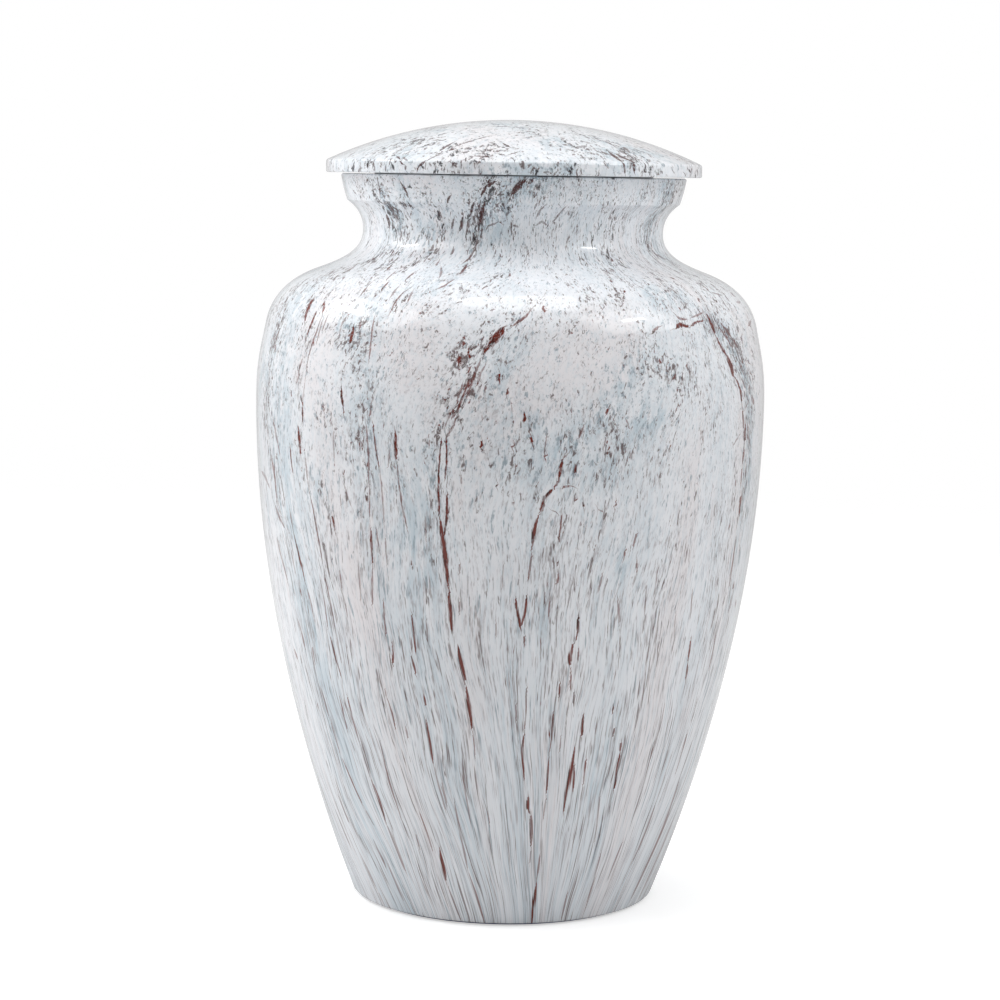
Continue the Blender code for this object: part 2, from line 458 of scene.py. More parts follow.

# %% [markdown]
# ## Flow lines
#
# Grain that runs straight down looks drawn with a ruler. On a dipped piece the strands of the film
# lean, spread and close up. Here that drift is combed in: each flow line is one strand, and its
# numbers say how far round the urn it lies at each of the heights in `FLOW_DOWN`. Between two
# lines the strands share the room evenly, so flecks turn out wide where the lines spread and narrow
# where they close up. The name of a line is its place at the belly.

# %% Comb the strands
FLOW_DOWN = (0, 18, 33, 48, 60, 72, 84, 96, 120, 150, 180, 210, 234, 257)
FLOW_LINES = {
    -61.6: (-68.4, -68.4, -68, -66.4, -65.2, -66.8, -67.4, -67.6, -66.8, -61.6, -60.4, -59, -54.8, -48.6),
    -53.2: (-60.4, -60.4, -60, -57.6, -56, -57.6, -58.4, -58.4, -57.4, -53.2, -52.4, -48.4, -39.6, -33.2),
    -45.4: (-53, -53, -52.4, -50, -48.4, -50, -50.8, -50.4, -48.4, -45.4, -43.2, -39.2, -34.6, -30),
    -31: (-27.6, -27.6, -27.6, -28.4, -29.6, -30.6, -30.8, -30.4, -30.8, -31, -29.2, -24.8, -20.4, -15.6),
    -22.4: (-14, -15, -17, -19.4, -21.6, -23.4, -24.4, -24.6, -23.2, -22.4, -20.6, -17.2, -11.4, -6),
    -12.8: (0, -1, -3, -5, -6.6, -9.4, -11.8, -13.6, -13.6, -12.8, -8.8, -5.2, -2.4, 1),
    4: (15, 14, 13, 12, 11, 9.8, 8.6, 7.2, 5.4, 4, 4.8, 6.8, 9.4, 12),
    20: (30, 29.5, 29, 28.4, 27.8, 27, 25.8, 24.6, 22, 20, 19.2, 18, 17.4, 17),
    32: (41, 41, 41, 40.6, 40.4, 40, 39, 37.6, 34.6, 32, 32, 32, 31, 29.6),
    48: (51, 50.6, 50.4, 49.6, 49.2, 50, 51.2, 51.4, 50, 48, 47.6, 47.2, 44.8, 41),
    63.2: (60, 59, 57.6, 55, 53.6, 56.4, 60, 62.2, 63.2, 63.2, 62.2, 58.4, 55.4, 49.6),
    72: (69, 68, 66.4, 64.4, 63.2, 64.8, 67.6, 69.6, 71.4, 72, 71.4, 69.6, 65.4, 58),
    100: (104, 103, 101, 99, 98, 98, 99, 100, 101, 100, 99, 97, 94, 90),
    128: (120, 121, 123, 126, 129, 131, 131, 130, 128, 128, 128, 127, 126, 124),
    155: (160, 158, 155, 151, 149, 149, 151, 153, 155, 155, 155, 155, 155, 155),
    188: (180, 182, 184, 187, 190, 192, 192, 190, 188, 188, 188, 189, 190, 190),
    220: (232, 230, 227, 222, 218, 215, 214, 216, 219, 220, 221, 223, 226, 228),
    250: (246, 247, 248, 249, 250, 250, 250, 250, 250, 250, 252, 255, 260, 266),
    276: (270, 271, 272, 274, 276, 276, 276, 275, 275, 276, 278, 282, 288, 296),
}
FLOW_SOFTNESS = 15
FULL_TURN, HALF_TURN = 360, 180

every_mm = np.arange(-FLOW_SOFTNESS, FLOW_DOWN[-1] + FLOW_SOFTNESS + 1)
softener = np.hanning(FLOW_SOFTNESS + 2)[1:-1]
softener /= softener.sum()
strand_names = np.array(list(FLOW_LINES))
strand_places = np.array([np.interp(every_mm, FLOW_DOWN, line) for line in FLOW_LINES.values()])
margin = FLOW_SOFTNESS // 2
padded = np.pad(strand_places, ((0, 0), (margin, margin)), mode="edge")
strand_places = np.array([np.convolve(line, softener, mode="valid") for line in padded])
print(len(strand_names), "strands combed")


def closed(degrees):
    """Degrees round the urn with the first repeated a full turn later."""
    return np.append(degrees, degrees[0] + FULL_TURN)


def strands_at(level):
    """Where round the urn the flow lines are at one level, closed into a full turn, and their names."""
    places = np.array([np.interp(level, every_mm, line) for line in strand_places])
    return closed(places), closed(strand_names)


def strand_of(around, down):
    """The strand that passes through each place, named by its degrees round at the belly."""
    strands = np.empty_like(around)
    levels, ring = np.unique(np.round(down, 2), return_inverse=True)
    for index, level in enumerate(levels):
        places, names = strands_at(level)
        here = ring == index
        turned_to = (around[here] - places[0]) % FULL_TURN + places[0]
        strands[here] = np.interp(turned_to, places, names)
    return strands


# %% [markdown]
# ## The stretch down the urn
#
# The flecks are nearly round at the neck and more than ten times as long as wide at the foot. The
# pattern's height runs slower and slower down the urn, which draws it out. Three slow waves sway the
# strands a little, so that none of them runs quite true. Both the height and the strand, wrapped on a
# circle as wide as the belly, go into one vector called `print`. A solid noise read there meets itself
# at the back without a seam.

# %% Lay out the print on the body
STRETCH_DOWN = (-40, 5, 12, 30, 42, 60, 80, 100, 130, 160, 190, 220, 257, 320)
STRETCH = (1.2, 1.2, 2.2, 2.4, 1.9, 1.7, 2.1, 3, 6, 11, 18, 28, 38, 38)
WANDER = ((5, 37, 0.16), (-11, 23, 0.08), (-7, 53, 0.3))
stretch_steps = np.arange(STRETCH_DOWN[0], STRETCH_DOWN[-1])
grain_height = np.cumsum(1 / np.interp(stretch_steps, STRETCH_DOWN, STRETCH))
belly_mm = body_radius / MM

around, travel, radius = measure(urn_body)
down = travel - collar_travel
strands = strand_of(around, down)
for waves_round, wave_down, sway in WANDER:
    strands += sway * np.sin(2 * np.pi * down / wave_down + np.radians(waves_round * around))
strands = np.radians(strands)
grain = np.interp(down, stretch_steps, grain_height)
body_print = np.stack([belly_mm * np.sin(strands), -belly_mm * np.cos(strands), grain], axis=1)
keep(urn_body, "print", body_print)
stretched_over = stretch_steps[-1] - stretch_steps[0]
print(f"{grain_height[-1]:.0f} mm of pattern height over {stretched_over} mm of urn")

# %% [markdown]
# ## Drawing veins
#
# A vein is a short path with a strength and half a width. To draw a crisp line on a mesh whose
# vertices are further apart than the line is wide, the vertices can't hold its colour. They hold how
# far the line is to their left or right, counted in half widths, and the shader finds where that
# passes zero. Between two vertices the number runs evenly, so the line is exact.
#
# Veins that lie close together would overwrite each other, so they are dealt out to six layers in
# which no two are near. A second number for each layer fades the ink out away from its veins.

# %% Distance from a path
INK_FULL_TO, INK_GONE_AT = 2.0, 3.1
SIDE_KEPT_TO = 8
OVERRUN = 0.8
SHARPEST_TIP = 0.15
MOST_WIDTHS = 14


def to_each_side(path, around, down, radius):
    """Signed mm from a path, its share of the length, and mm past its ends, for places near it."""
    around_mm = np.radians(1) * radius
    points = [((a - around + HALF_TURN) % FULL_TURN - HALF_TURN, d - down) for a, d in path]
    points = [(a * around_mm, d) for a, d in points]
    lengths = [np.hypot(b[0] - a[0], b[1] - a[1]) for a, b in zip(points, points[1:])]
    best = np.full(around.shape, np.inf)
    side, share, past = np.zeros_like(best), np.zeros_like(best), np.zeros_like(best)
    total, before = sum(lengths), np.zeros_like(best)
    for index, (a, b, length) in enumerate(zip(points, points[1:], lengths)):
        way = ((b[0] - a[0]) / length, (b[1] - a[1]) / length)
        along = -(a[0] * way[0] + a[1] * way[1])
        across = a[0] * way[1] - a[1] * way[0]
        kept = np.clip(along, 0, length)
        distance = np.hypot(along - kept, across)
        nearer = distance < best
        is_end = (index == 0) & (along < 0) | (index == len(lengths) - 1) & (along > length)
        best = np.where(nearer, distance, best)
        side = np.where(nearer, np.where(is_end, across, np.copysign(distance, across)), side)
        share = np.where(nearer, (before + kept) / total, share)
        past = np.where(nearer, np.where(is_end, np.abs(along - kept), 0), past)
        before = before + length
    return side, share, past


def fade(value, start, end):
    """1 up to the start, 0 from the end on, and a smooth fall between them."""
    ramp = np.clip((value - start) / (end - start), 0, 1)
    return 1 - ramp * ramp * (3 - 2 * ramp)


# %% Deal the veins out to layers and draw them
VEIN_LAYERS = 6
LAYER_GROUPS = {"a": slice(0, 3), "b": slice(3, 6)}
CLEAR_OF_EACH_OTHER = 6.6
DOTS_APART = 2


def dotted(path, radius_at):
    """Points at most 2 mm apart along a path, in mm round and mm down."""
    dots = []
    for (a1, d1), (a2, d2) in zip(path, path[1:]):
        wide = math.radians(1) * float(radius_at((d1 + d2) / 2))
        count = int(math.hypot((a2 - a1) * wide, d2 - d1) / DOTS_APART) + 2
        for share in np.linspace(0, 1, count):
            dots.append(((a1 + (a2 - a1) * share) * wide, d1 + (d2 - d1) * share))
    return np.array(dots)


def deal(veins, radius_at):
    """A layer number for each vein, such that veins of a layer stay clear of each other."""
    dots = [dotted(path, radius_at) for _, _, path in veins]
    layers = []
    for index, mine in enumerate(dots):
        room = np.full(VEIN_LAYERS, np.inf)
        for other in range(index):
            gap = np.hypot(*(mine[:, None] - dots[other][None]).transpose(2, 0, 1)).min()
            room[layers[other]] = min(room[layers[other]], gap)
        free = np.flatnonzero(room > CLEAR_OF_EACH_OTHER)
        layers.append(int(free[0]) if len(free) else int(room.argmax()))
    return layers


def draw_veins(piece, veins, around, down, radius, radius_at):
    """Writes the veins into a piece's vertex layers: sides_a, sides_b, ink_a and ink_b."""
    sides = np.full((VEIN_LAYERS, len(around)), float(MOST_WIDTHS))
    ink = np.zeros((VEIN_LAYERS, len(around)))
    nearest = np.full((VEIN_LAYERS, len(around)), np.inf)
    for (strength, half_width, path), layer in zip(veins, deal(veins, radius_at)):
        lows, highs = np.min(path, axis=0), np.max(path, axis=0)
        window = np.degrees(SIDE_KEPT_TO / np.maximum(radius, 1))
        turned_by = (around - (lows[0] + highs[0]) / 2 + HALF_TURN) % FULL_TURN - HALF_TURN
        close = np.abs(turned_by) < (highs[0] - lows[0]) / 2 + window
        close &= (down > lows[1] - SIDE_KEPT_TO) & (down < highs[1] + SIDE_KEPT_TO)
        here = np.flatnonzero(close)
        side, share, past = to_each_side(path, around[here], down[here], radius[here])
        distance = np.hypot(side, past)
        nearer = distance < nearest[layer, here]
        found = (here, side, share, past, distance)
        here, side, share, past, distance = (values[nearer] for values in found)
        taper = np.maximum(np.sqrt(np.sin(np.pi * np.clip(share, 0, 1))), SHARPEST_TIP)
        nearest[layer, here] = distance
        sides[layer, here] = np.clip(side / (half_width * taper), -MOST_WIDTHS, MOST_WIDTHS)
        ink_near = fade(np.abs(side), INK_FULL_TO, INK_GONE_AT) * fade(past, 0, OVERRUN)
        ink[layer, here] = strength * ink_near
    for letter, group in LAYER_GROUPS.items():
        keep(piece, "sides_" + letter, sides[group].T.copy())
        keep(piece, "ink_" + letter, ink[group].T.copy())
    print(f"{piece.name}: {len(veins)} veins drawn")


# %% [markdown]
# ## The veins of the body
#
# Each row is a strength, half a width in mm, and then the points of the path: degrees round from the
# front and mm down from the top of the collar. The front has one strong vein from the neck, three
# more that start on the shoulder, and many short dashes that follow the grain.

# %% Name the veins on the front of the body
FRONT_VEINS = (
    (1, 1, 3.6, 0.3, 0.8, 2.7, -0.8, 5.4), (0.8, 0.7, 6.4, 0, 4, 1.8),
    (0.9, 0.6, -5.6, 0.9, -8.8, 2.4, -10.8, 6), (1, 0.7, -9.4, 7.5, -11, 11.4, -12.2, 15, -12.8, 18.6),
    (0.9, 0.6, -12.8, 7.2, -14.4, 10.5, -15.6, 13.5), (0.7, 0.4, -11.2, 8.1, -12.6, 12.6),
    (0.8, 0.5, -20.8, 5.1, -22.6, 8.4), (0.7, 0.5, -21.8, 14.1, -23.2, 18),
    (0.8, 0.6, -18.2, 13.5, -19.2, 17.1, -20.2, 18.6), (0.6, 0.4, -16.4, 15, -17.6, 19.8),
    (0.7, 0.4, -12.6, 18.6, -13.8, 24, -14.8, 27.6, -16.6, 30.9),
    (0.8, 0.45, -14.8, 30.6, -15, 35.4, -15, 38.4), (0.7, 0.4, -16, 42.3, -17.2, 45.9, -19.2, 48.3),
    (0.7, 0.5, -21.8, 22.8, -21.6, 26.7), (0.6, 0.4, -23.2, 32.4, -21.4, 36, -20.4, 39.9, -20, 42.3),
    (0.9, 0.8, -5.4, 15.3, -4.4, 15.9), (0.6, 0.35, -9.4, 16.5, -7.2, 16.2, -5.4, 15.3),
    (0.6, 0.35, -0.6, 16.2, 1.6, 16.8), (0.6, 0.5, -37.4, 25.2, -37.6, 28.8),
    (0.7, 0.4, -36.4, 36.6, -35, 44.1), (0.9, 0.45, -33.8, 45, -33.6, 50.1),
    (0.6, 0.35, -39, 45, -38.8, 53.4), (0.7, 0.4, -34.4, 51.3, -34.2, 53.1),
    (0.8, 0.5, -29.6, 37.2, -29.2, 43.8), (0.5, 0.4, -29.6, 46.5, -30, 53.4),
    (0.7, 0.35, -25.8, 47.4, -27.2, 50.4, -28, 54, -28.6, 59.7), (0.5, 0.4, -25, 48.9, -24.8, 54.6),
    (0.8, 0.6, -41.2, 33.9, -40, 36.6), (0.7, 0.7, -44.2, 29.7, -43.4, 31.5),
    (0.8, 0.7, -47.6, 25.2, -46.8, 27.6), (0.9, 0.7, -53.2, 13.2, -53, 18),
    (0.7, 0.7, -49.6, 9.6, -47.6, 12.3), (0.5, 0.6, -48.4, 15.6, -48, 16.8),
    (0.7, 0.7, -68.4, 4.8, -66, 6.3), (0.8, 0.5, -56.8, 1.8, -54.4, 0.9),
    (0.6, 0.4, -50, 0, -49.6, 3.6, -50, 6.3), (0.8, 0.4, -39.4, 1.5, -37.8, 3.9, -36.6, 6.6),
    (0.6, 0.7, -63.2, 39.6, -60.6, 42.6), (0.6, 0.6, -57.6, 34.2, -54.8, 40.2),
    (0.6, 0.5, -52, 43.2, -50.4, 45.3), (0.7, 0.5, -24.6, 33, -25, 29.4),
    (1, 0.95, -54.8, 54.6, -54.6, 58.2, -53.8, 63.3), (1, 0.6, -50.6, 59.4, -51.2, 63.6, -52, 67.2),
    (0.9, 0.65, -50, 55.2, -48.6, 57.6, -48, 60),
    (0.6, 0.4, -48, 60, -48.4, 64.5, -49.4, 68.4, -50, 73.5, -50.2, 78.6),
    (0.4, 0.4, -50.2, 78.6, -50.6, 87.6), (0.5, 0.5, -52.2, 73.5, -53.4, 82.8),
    (0.9, 0.6, -37.2, 62.4, -37.6, 69), (0.6, 0.4, -35.6, 61.5, -35.4, 64.2),
    (0.6, 0.35, -32.2, 59.4, -32, 66.6, -31.8, 73.8), (0.6, 0.35, -30.6, 85.2, -30.8, 90.6),
    (0.5, 0.35, -47.4, 61.5, -48, 69.6), (0.5, 0.35, -46, 60, -46.8, 66),
    (0.4, 0.35, -40.8, 60, -41, 66.6), (0.9, 0.55, -38.8, 81, -38.2, 85.5, -37.4, 90.6),
    (0.9, 0.5, -50.8, 85.8, -50.6, 93.9), (1, 0.9, -52.6, 95.4, -51.8, 99.9, -51.6, 104.4),
    (0.7, 0.5, -54, 99, -53.2, 100.8), (0.8, 0.55, -56, 101.7, -55, 110.7),
    (0.5, 0.6, -64.2, 94.2, -60.4, 106.2), (0.75, 0.9, -66.2, 105.9, -64.2, 112.2, -63.8, 121.2),
    (0.5, 0.9, -75.6, 112.5, -71.6, 113.7, -68, 117), (0.6, 0.9, -66, 120.6, -63, 125.7, -60.4, 128.4),
    (0.6, 0.9, -66.2, 132.6, -64.4, 138.3, -62.2, 146.7),
    (0.9, 0.55, -56.4, 129, -54.6, 138, -53.2, 145.2), (0.6, 0.4, -57.6, 120.6, -56.4, 129),
    (0.6, 0.4, -53.2, 145.2, -52, 151.8, -51.6, 157.2), (0.6, 0.5, -58.4, 135, -57.4, 142.8),
    (0.8, 0.6, -56.4, 146.1, -55.8, 149.7), (0.5, 0.4, -50, 103.5, -49.2, 113.4),
    (0.7, 0.4, -49, 114, -47.4, 123.6, -46.4, 132, -45.8, 138.6),
    (0.6, 0.4, -45.8, 138.6, -45, 147, -44.4, 150.6, -44, 159),
    (0.6, 0.4, -47.4, 141, -46.8, 150, -46.6, 159), (0.8, 0.5, -46.4, 159.6, -45.4, 166.8, -44, 174.6),
    (0.5, 0.35, -44, 159, -43.4, 169.5), (0.9, 0.5, -42, 120.3, -40.8, 127.2),
    (0.5, 0.4, -39.2, 114.3, -38.8, 118.8), (0.8, 0.45, -40.8, 137.7, -40.2, 144.6),
    (0.5, 0.35, -39.8, 148.2, -39.4, 153.6), (0.5, 0.4, -35, 134.4, -35, 147.6),
    (0.4, 0.3, -38.2, 110.4, -35.8, 118.8), (0.6, 0.35, -31.8, 91.8, -31.2, 102, -31.2, 111.6),
    (0.6, 0.35, -31.2, 111.6, -31.2, 121.5), (0.9, 0.5, -31.2, 123.6, -31, 135.6),
    (0.6, 0.4, -31.2, 135.6, -31.6, 142.5, -31.8, 148.8),
    (0.8, 0.45, -30.2, 91.8, -29.2, 100.5, -28.4, 105.6),
    (1, 0.85, -24.8, 93.3, -24.6, 97.2, -24.4, 102.6),
    (0.7, 0.4, -24.4, 102.6, -23.8, 110.4, -23.2, 117, -21.8, 124.8),
    (0.6, 0.35, -29.8, 123.6, -28.8, 132.6), (0.8, 0.5, -29, 145.8, -28.8, 158.4),
    (1, 0.55, -27.4, 159, -27.4, 163.8, -27.8, 167.4),
    (0.8, 0.45, -22, 149.1, -21.6, 156, -21.4, 162.6), (0.8, 0.4, -22.8, 162.3, -21.6, 169.8),
    (0.5, 0.35, -27.6, 126, -27.2, 135.6), (0.5, 0.35, -18.6, 150, -18.2, 157.8),
    (0.6, 0.35, -26, 99, -26.4, 105.6), (0.45, 0.35, -28.4, 105.6, -27.8, 115.5, -27.6, 123),
    (0.5, 0.35, -18, 118.5, -17.8, 127.5), (0.4, 0.35, -40.8, 94.5, -40.4, 105),
    (1, 1.5, -1.4, 61.5, -2.8, 63.9, -4.4, 66.3, -5.8, 69.3),
    (0.7, 0.4, 4.8, 54.6, 3, 57.9, 1.4, 59.7, -0.6, 61.8), (0.9, 0.9, -11.4, 70.2, -10.8, 73.5),
    (0.9, 0.6, -9.4, 67.8, -9, 70.5), (0.6, 0.5, -6.4, 70.8, -8, 77.4, -9.6, 84.6),
    (0.7, 0.5, -8.4, 76.2, -10, 82.5, -11.4, 88.2), (0.6, 0.5, -10.2, 78.6, -11.2, 84.6),
    (0.5, 0.4, -5.2, 72, -6.4, 75.6, -7.2, 79.8),
    (0.9, 0.45, -14.4, 95.1, -14.8, 102, -15, 109.8, -14.8, 119.4),
    (0.9, 0.45, -13.4, 95.1, -13.2, 100.5, -13.6, 108),
    (1, 0.55, -13.2, 111.6, -13.2, 120, -13.8, 125.4),
    (1, 0.9, -14.8, 119.4, -14, 126, -13.4, 132, -13, 141),
    (1, 0.75, -13, 141, -12.8, 147, -12.4, 155.1), (1, 0.7, -11.2, 159, -10.2, 166.5, -9.6, 171.6),
    (0.9, 0.6, -9.6, 171.6, -8.8, 179.4, -8.2, 186.6), (0.7, 0.35, -8.2, 186.6, -7.8, 192, -7.6, 196.5),
    (0.6, 0.5, -10.2, 105.6, -10, 109.2), (0.9, 0.5, -6, 94.8, -5.8, 98.1),
    (0.7, 0.5, 0.4, 95.7, 0.8, 98.1), (0.7, 0.5, 0.8, 112.8, 1, 114.6),
    (0.9, 0.55, 2.6, 87.3, 2.8, 89.7), (0.8, 0.35, -2.6, 107.4, -2.4, 109.8),
    (0.6, 0.5, -11, 87.6, -12, 91.8, -13.2, 94.8), (0.5, 0.4, -12.4, 87, -13.8, 92.4),
    (0.6, 0.35, -10.6, 132, -10.4, 136.5), (0.5, 0.3, -10.6, 144, -10.6, 149.4),
    (1, 0.6, 1.6, 143.1, 2.4, 148.5, 3.2, 153.3), (0.9, 0.5, 4.2, 141.9, 4, 147, 3.2, 152.4),
    (0.7, 0.4, 3.8, 154.5, 4.2, 158.4), (0.5, 0.3, -2.6, 150, -2.4, 156),
    (0.4, 0.3, -1, 132, -1.2, 141), (1, 0.6, -2.6, 74.7, -2.4, 78), (0.8, 0.5, -0.8, 80.1, -0.8, 82.8),
    (0.6, 0.5, -6.6, 82.5, -6.6, 84), (0.8, 0.4, -1, 36.6, -0.8, 39.6), (0.6, 0.5, 0, 84, 0.2, 85.8),
    (0.6, 0.4, -5.2, 78.6, -5.4, 81), (1, 0.6, 2.6, 87.3, 3, 89.7), (1, 0.6, 3.8, 93.3, 4.8, 96.9),
    (0.8, 0.55, 0.4, 96, 0.6, 97.8), (0.7, 0.4, 7.4, 92.7, 7.2, 100.2),
    (0.9, 0.5, 7.4, 98.7, 7.6, 100.8), (1, 0.6, 11, 100.2, 10.6, 103.5, 10.2, 107.4),
    (0.9, 0.5, 13.6, 102.6, 14, 105.6), (0.5, 0.4, 12.4, 98.4, 11.2, 100.8),
    (1, 0.8, 9.2, 109.5, 7.6, 112.2, 6.4, 117), (1, 0.55, 6.4, 117, 5.6, 120.6, 5.2, 124.5, 5, 129),
    (0.7, 0.4, 5, 129, 4.8, 133.5, 4.4, 138), (0.7, 0.5, 7.6, 113.4, 6.8, 117),
    (0.9, 0.5, 9.2, 109.8, 9.8, 108.3, 10.2, 107.1), (0.7, 0.4, 10.4, 109.5, 12.2, 108.9, 13.6, 109.5),
    (0.8, 0.45, 11.2, 116.4, 11, 121.2, 10.8, 125.1), (0.6, 0.3, 8.8, 115.8, 10.8, 117.6),
    (0.9, 0.55, 15.6, 112.5, 16, 116.4), (0.9, 0.5, 23, 113.7, 23, 116.4),
    (0.6, 0.6, 22, 89.7, 22.4, 90.9), (0.8, 0.5, 21, 84.9, 20, 87.9),
    (0.5, 0.4, 24.6, 88.8, 25.8, 92.1), (0.6, 0.5, 19, 115.5, 20.4, 117.6),
    (0.5, 0.4, 15.6, 90, 14, 95.4), (0.5, 0.35, 20.4, 93.6, 19.6, 99),
    (1, 0.5, 16, 148.8, 16.2, 154.5, 15.8, 157.5), (1, 0.95, 15.4, 157.2, 14.6, 162, 15, 165.6),
    (0.9, 0.5, 15, 165.6, 15.4, 170.1, 15.6, 173.1), (0.7, 0.5, 16.6, 159, 16.8, 163.8),
    (0.9, 0.5, 12.6, 169.8, 13, 175.8), (0.7, 0.4, 15.2, 168.6, 14.8, 172.5),
    (0.7, 0.4, 16.4, 172.8, 16.8, 178.2), (0.7, 0.45, 10.8, 135.6, 10.8, 139.2),
    (0.9, 0.55, 19.4, 181.2, 19.8, 189.6), (0.6, 0.35, 8, 141, 8.2, 145.8),
    (0.5, 0.35, 9.2, 143.4, 9.2, 150), (0.7, 0.4, 4.8, 171.6, 5, 180, 4.8, 186.6),
    (0.8, 0.45, 4.8, 186.6, 4.4, 192, 4.8, 198, 5.4, 203.4), (0.7, 0.4, 2.4, 176.4, 2.8, 184.2),
    (0.9, 0.6, 6.6, 208.2, 6.8, 213, 7.6, 215.1), (1, 0.65, 7.6, 214.2, 8.2, 219.9, 8.6, 227.1),
    (0.4, 0.35, 8.6, 227.1, 8.4, 234), (0.8, 0.5, 11.6, 179.4, 11.8, 189, 11.4, 195),
    (0.9, 0.5, 11.4, 195, 11.6, 202.5, 11.6, 208.8), (0.6, 0.35, 11.6, 208.8, 11.4, 217.5),
    (0.6, 0.4, 11.4, 229.5, 11.2, 240), (1, 0.7, 11.2, 240, 11, 249, 11.2, 256.8),
    (1, 0.85, 18, 192.3, 17.8, 199.5, 17.2, 207.6, 17.2, 215.4), (0.8, 0.4, 18.4, 197.4, 19.2, 208.2),
    (0.8, 0.5, 21.6, 196.2, 22, 206.4), (0.7, 0.35, 14, 186.9, 14.2, 194.1),
    (0.8, 0.5, 27.2, 178.8, 27.6, 182.1), (0.7, 0.5, 28.6, 186, 28.6, 190.2),
    (0.7, 0.45, 31.2, 190.8, 31.6, 195.6), (1, 0.65, 31.6, 195.6, 31.8, 201.6, 32, 209.1),
    (0.5, 0.5, 27.6, 209.1, 28.4, 219, 29, 227.1), (0.6, 0.6, 32.2, 230.4, 32, 240, 31.4, 252.6),
    (0.6, 0.45, 40, 227.4, 38.6, 237, 38, 242.4),
    (0.6, 0.6, 50.6, 215.4, 50, 225, 49, 232.5, 47.6, 237.6), (0.6, 0.4, 22.6, 244.5, 22.4, 255.6),
    (0.6, 0.6, 57.2, 192, 57.4, 199.5, 57, 208.2),
    (0.6, 1.2, 61, 210, 60.8, 222, 60, 231, 58, 240.6, 55.2, 253.8),
    (0.45, 1.2, 68, 222.6, 66.2, 235.5, 62.8, 253.8), (0.8, 0.5, 49.6, 168, 50.4, 174),
    (0.8, 0.45, 49, 159, 49.6, 168), (0.5, 0.4, 46.6, 143.4, 47.6, 153.6),
    (0.7, 0.7, 60.6, 159.3, 61.2, 168, 61, 173.4), (0.6, 0.45, 28.6, 123.3, 28, 128.4),
    (0.7, 0.45, 26, 128.4, 25.8, 132.6), (0.6, 0.45, 29, 131.7, 29.6, 136.5),
    (0.5, 0.4, 21, 135.6, 20.4, 141.6), (0.5, 0.4, 25, 143.4, 26, 150, 26.4, 153.6),
    (0.5, 0.4, 32.4, 141, 32.8, 151.5), (0.5, 0.4, 35, 135, 34.8, 143.4),
    (0.45, 0.4, 42, 150, 42.8, 159), (1, 0.7, 38.4, 62.1, 40.6, 60.9, 43.2, 61.8),
    (1, 0.7, 41.6, 61.5, 43.2, 61.5), (0.8, 0.45, 43.2, 61.8, 46, 60.3, 49, 60),
    (0.6, 0.4, 39.6, 57, 40.8, 59.1, 43.6, 59.4), (0.6, 0.4, 44.4, 58.8, 48, 57.9, 50.4, 57),
    (0.7, 0.5, 31.6, 63.6, 33.2, 62.1, 35, 61.2), (1, 0.8, 50.8, 57.9, 51.4, 61.5, 52.2, 65.1),
    (1, 0.85, 52.2, 65.1, 53.6, 68.4, 55.4, 71.4), (1, 1.2, 55.4, 71.4, 56.8, 75, 57.6, 78.6),
    (1, 0.7, 57.6, 78, 59.4, 80.4, 60.4, 83.4, 61.2, 87.6),
    (0.9, 0.55, 61.2, 87.6, 61.8, 91.5, 62.4, 95.4), (1, 1.2, 63, 93, 63.4, 99.6),
    (0.9, 0.8, 63, 101.1, 63, 105.6), (0.8, 0.5, 62.6, 106.2, 62.8, 112.8),
    (1, 1, 63.4, 115.2, 63.6, 123), (0.7, 0.7, 63.2, 129, 63.4, 138, 63.6, 145.8),
    (0.6, 0.5, 53.4, 61.5, 56, 65.1, 59, 69.6), (0.5, 0.5, 54.4, 60, 58, 64.5, 60.6, 68.4),
    (0.8, 0.9, 66, 73.8, 67.4, 74.7), (0.7, 0.8, 66.6, 77.1, 67.4, 78),
    (0.7, 0.9, 67.6, 85.2, 68.8, 88.2), (0.6, 0.6, 64.8, 87, 65.6, 89.4),
    (0.8, 0.9, 66.4, 144.3, 66.8, 147.6), (0.6, 0.6, 66.6, 148.5, 66.8, 154.5),
    (0.5, 0.8, 70.4, 150, 72.4, 154.5), (0.5, 0.5, 61, 78.6, 63.2, 82.8),
    (0.5, 0.5, 60, 72.9, 63.2, 78.6), (0.6, 0.4, 62.4, 88.8, 65.2, 85.8),
    (0.5, 0.35, 56.8, 99.9, 60, 96.6, 61.2, 95.7), (0.5, 0.4, 44.4, 108.6, 44.8, 109.8),
    (0.6, 0.6, 64.8, 93.6, 65.4, 99), (1, 0.6, 27.2, 41.4, 27.4, 43.2),
    (0.9, 0.5, 28.6, 47.4, 28.8, 48.6), (0.9, 0.7, 51, 39.6, 51.4, 41.4),
    (0.9, 0.7, 51, 51.6, 51.4, 53.4), (0.7, 0.6, 32.2, 49.2, 32.6, 50.4),
    (0.5, 0.5, 44, 46.5, 44.6, 48), (0.6, 0.5, 16, 36, 15.4, 37.8), (0.7, 0.8, 59.4, 21.9, 60.4, 23.1),
    (0.6, 0.6, 61.2, 24.9, 64.4, 26.7, 67.6, 28.5), (0.7, 0.6, 35, 28.5, 36, 27.6),
    (0.7, 0.6, 39.4, 27.6, 40, 27.3), (0.6, 0.4, 10.4, 8.1, 9.2, 10.5, 8, 13.8),
    (0.6, 0.4, 17.6, 8.4, 16, 12, 14.2, 15.3), (0.5, 0.4, 12.4, 16.2, 10, 15, 8, 16.2),
    (0.6, 0.5, 21, 6.6, 21.6, 6.6), (0.6, 0.4, 16.8, 6, 16.8, 7.2), (0.6, 0.5, 10, 5.4, 10, 6.6),
    (0.6, 0.5, 60, 49.5, 64, 51), (0.5, 0.6, 70.4, 54.6, 75, 54.6), (0.6, 0.6, 70.4, 63, 76.4, 61.2),
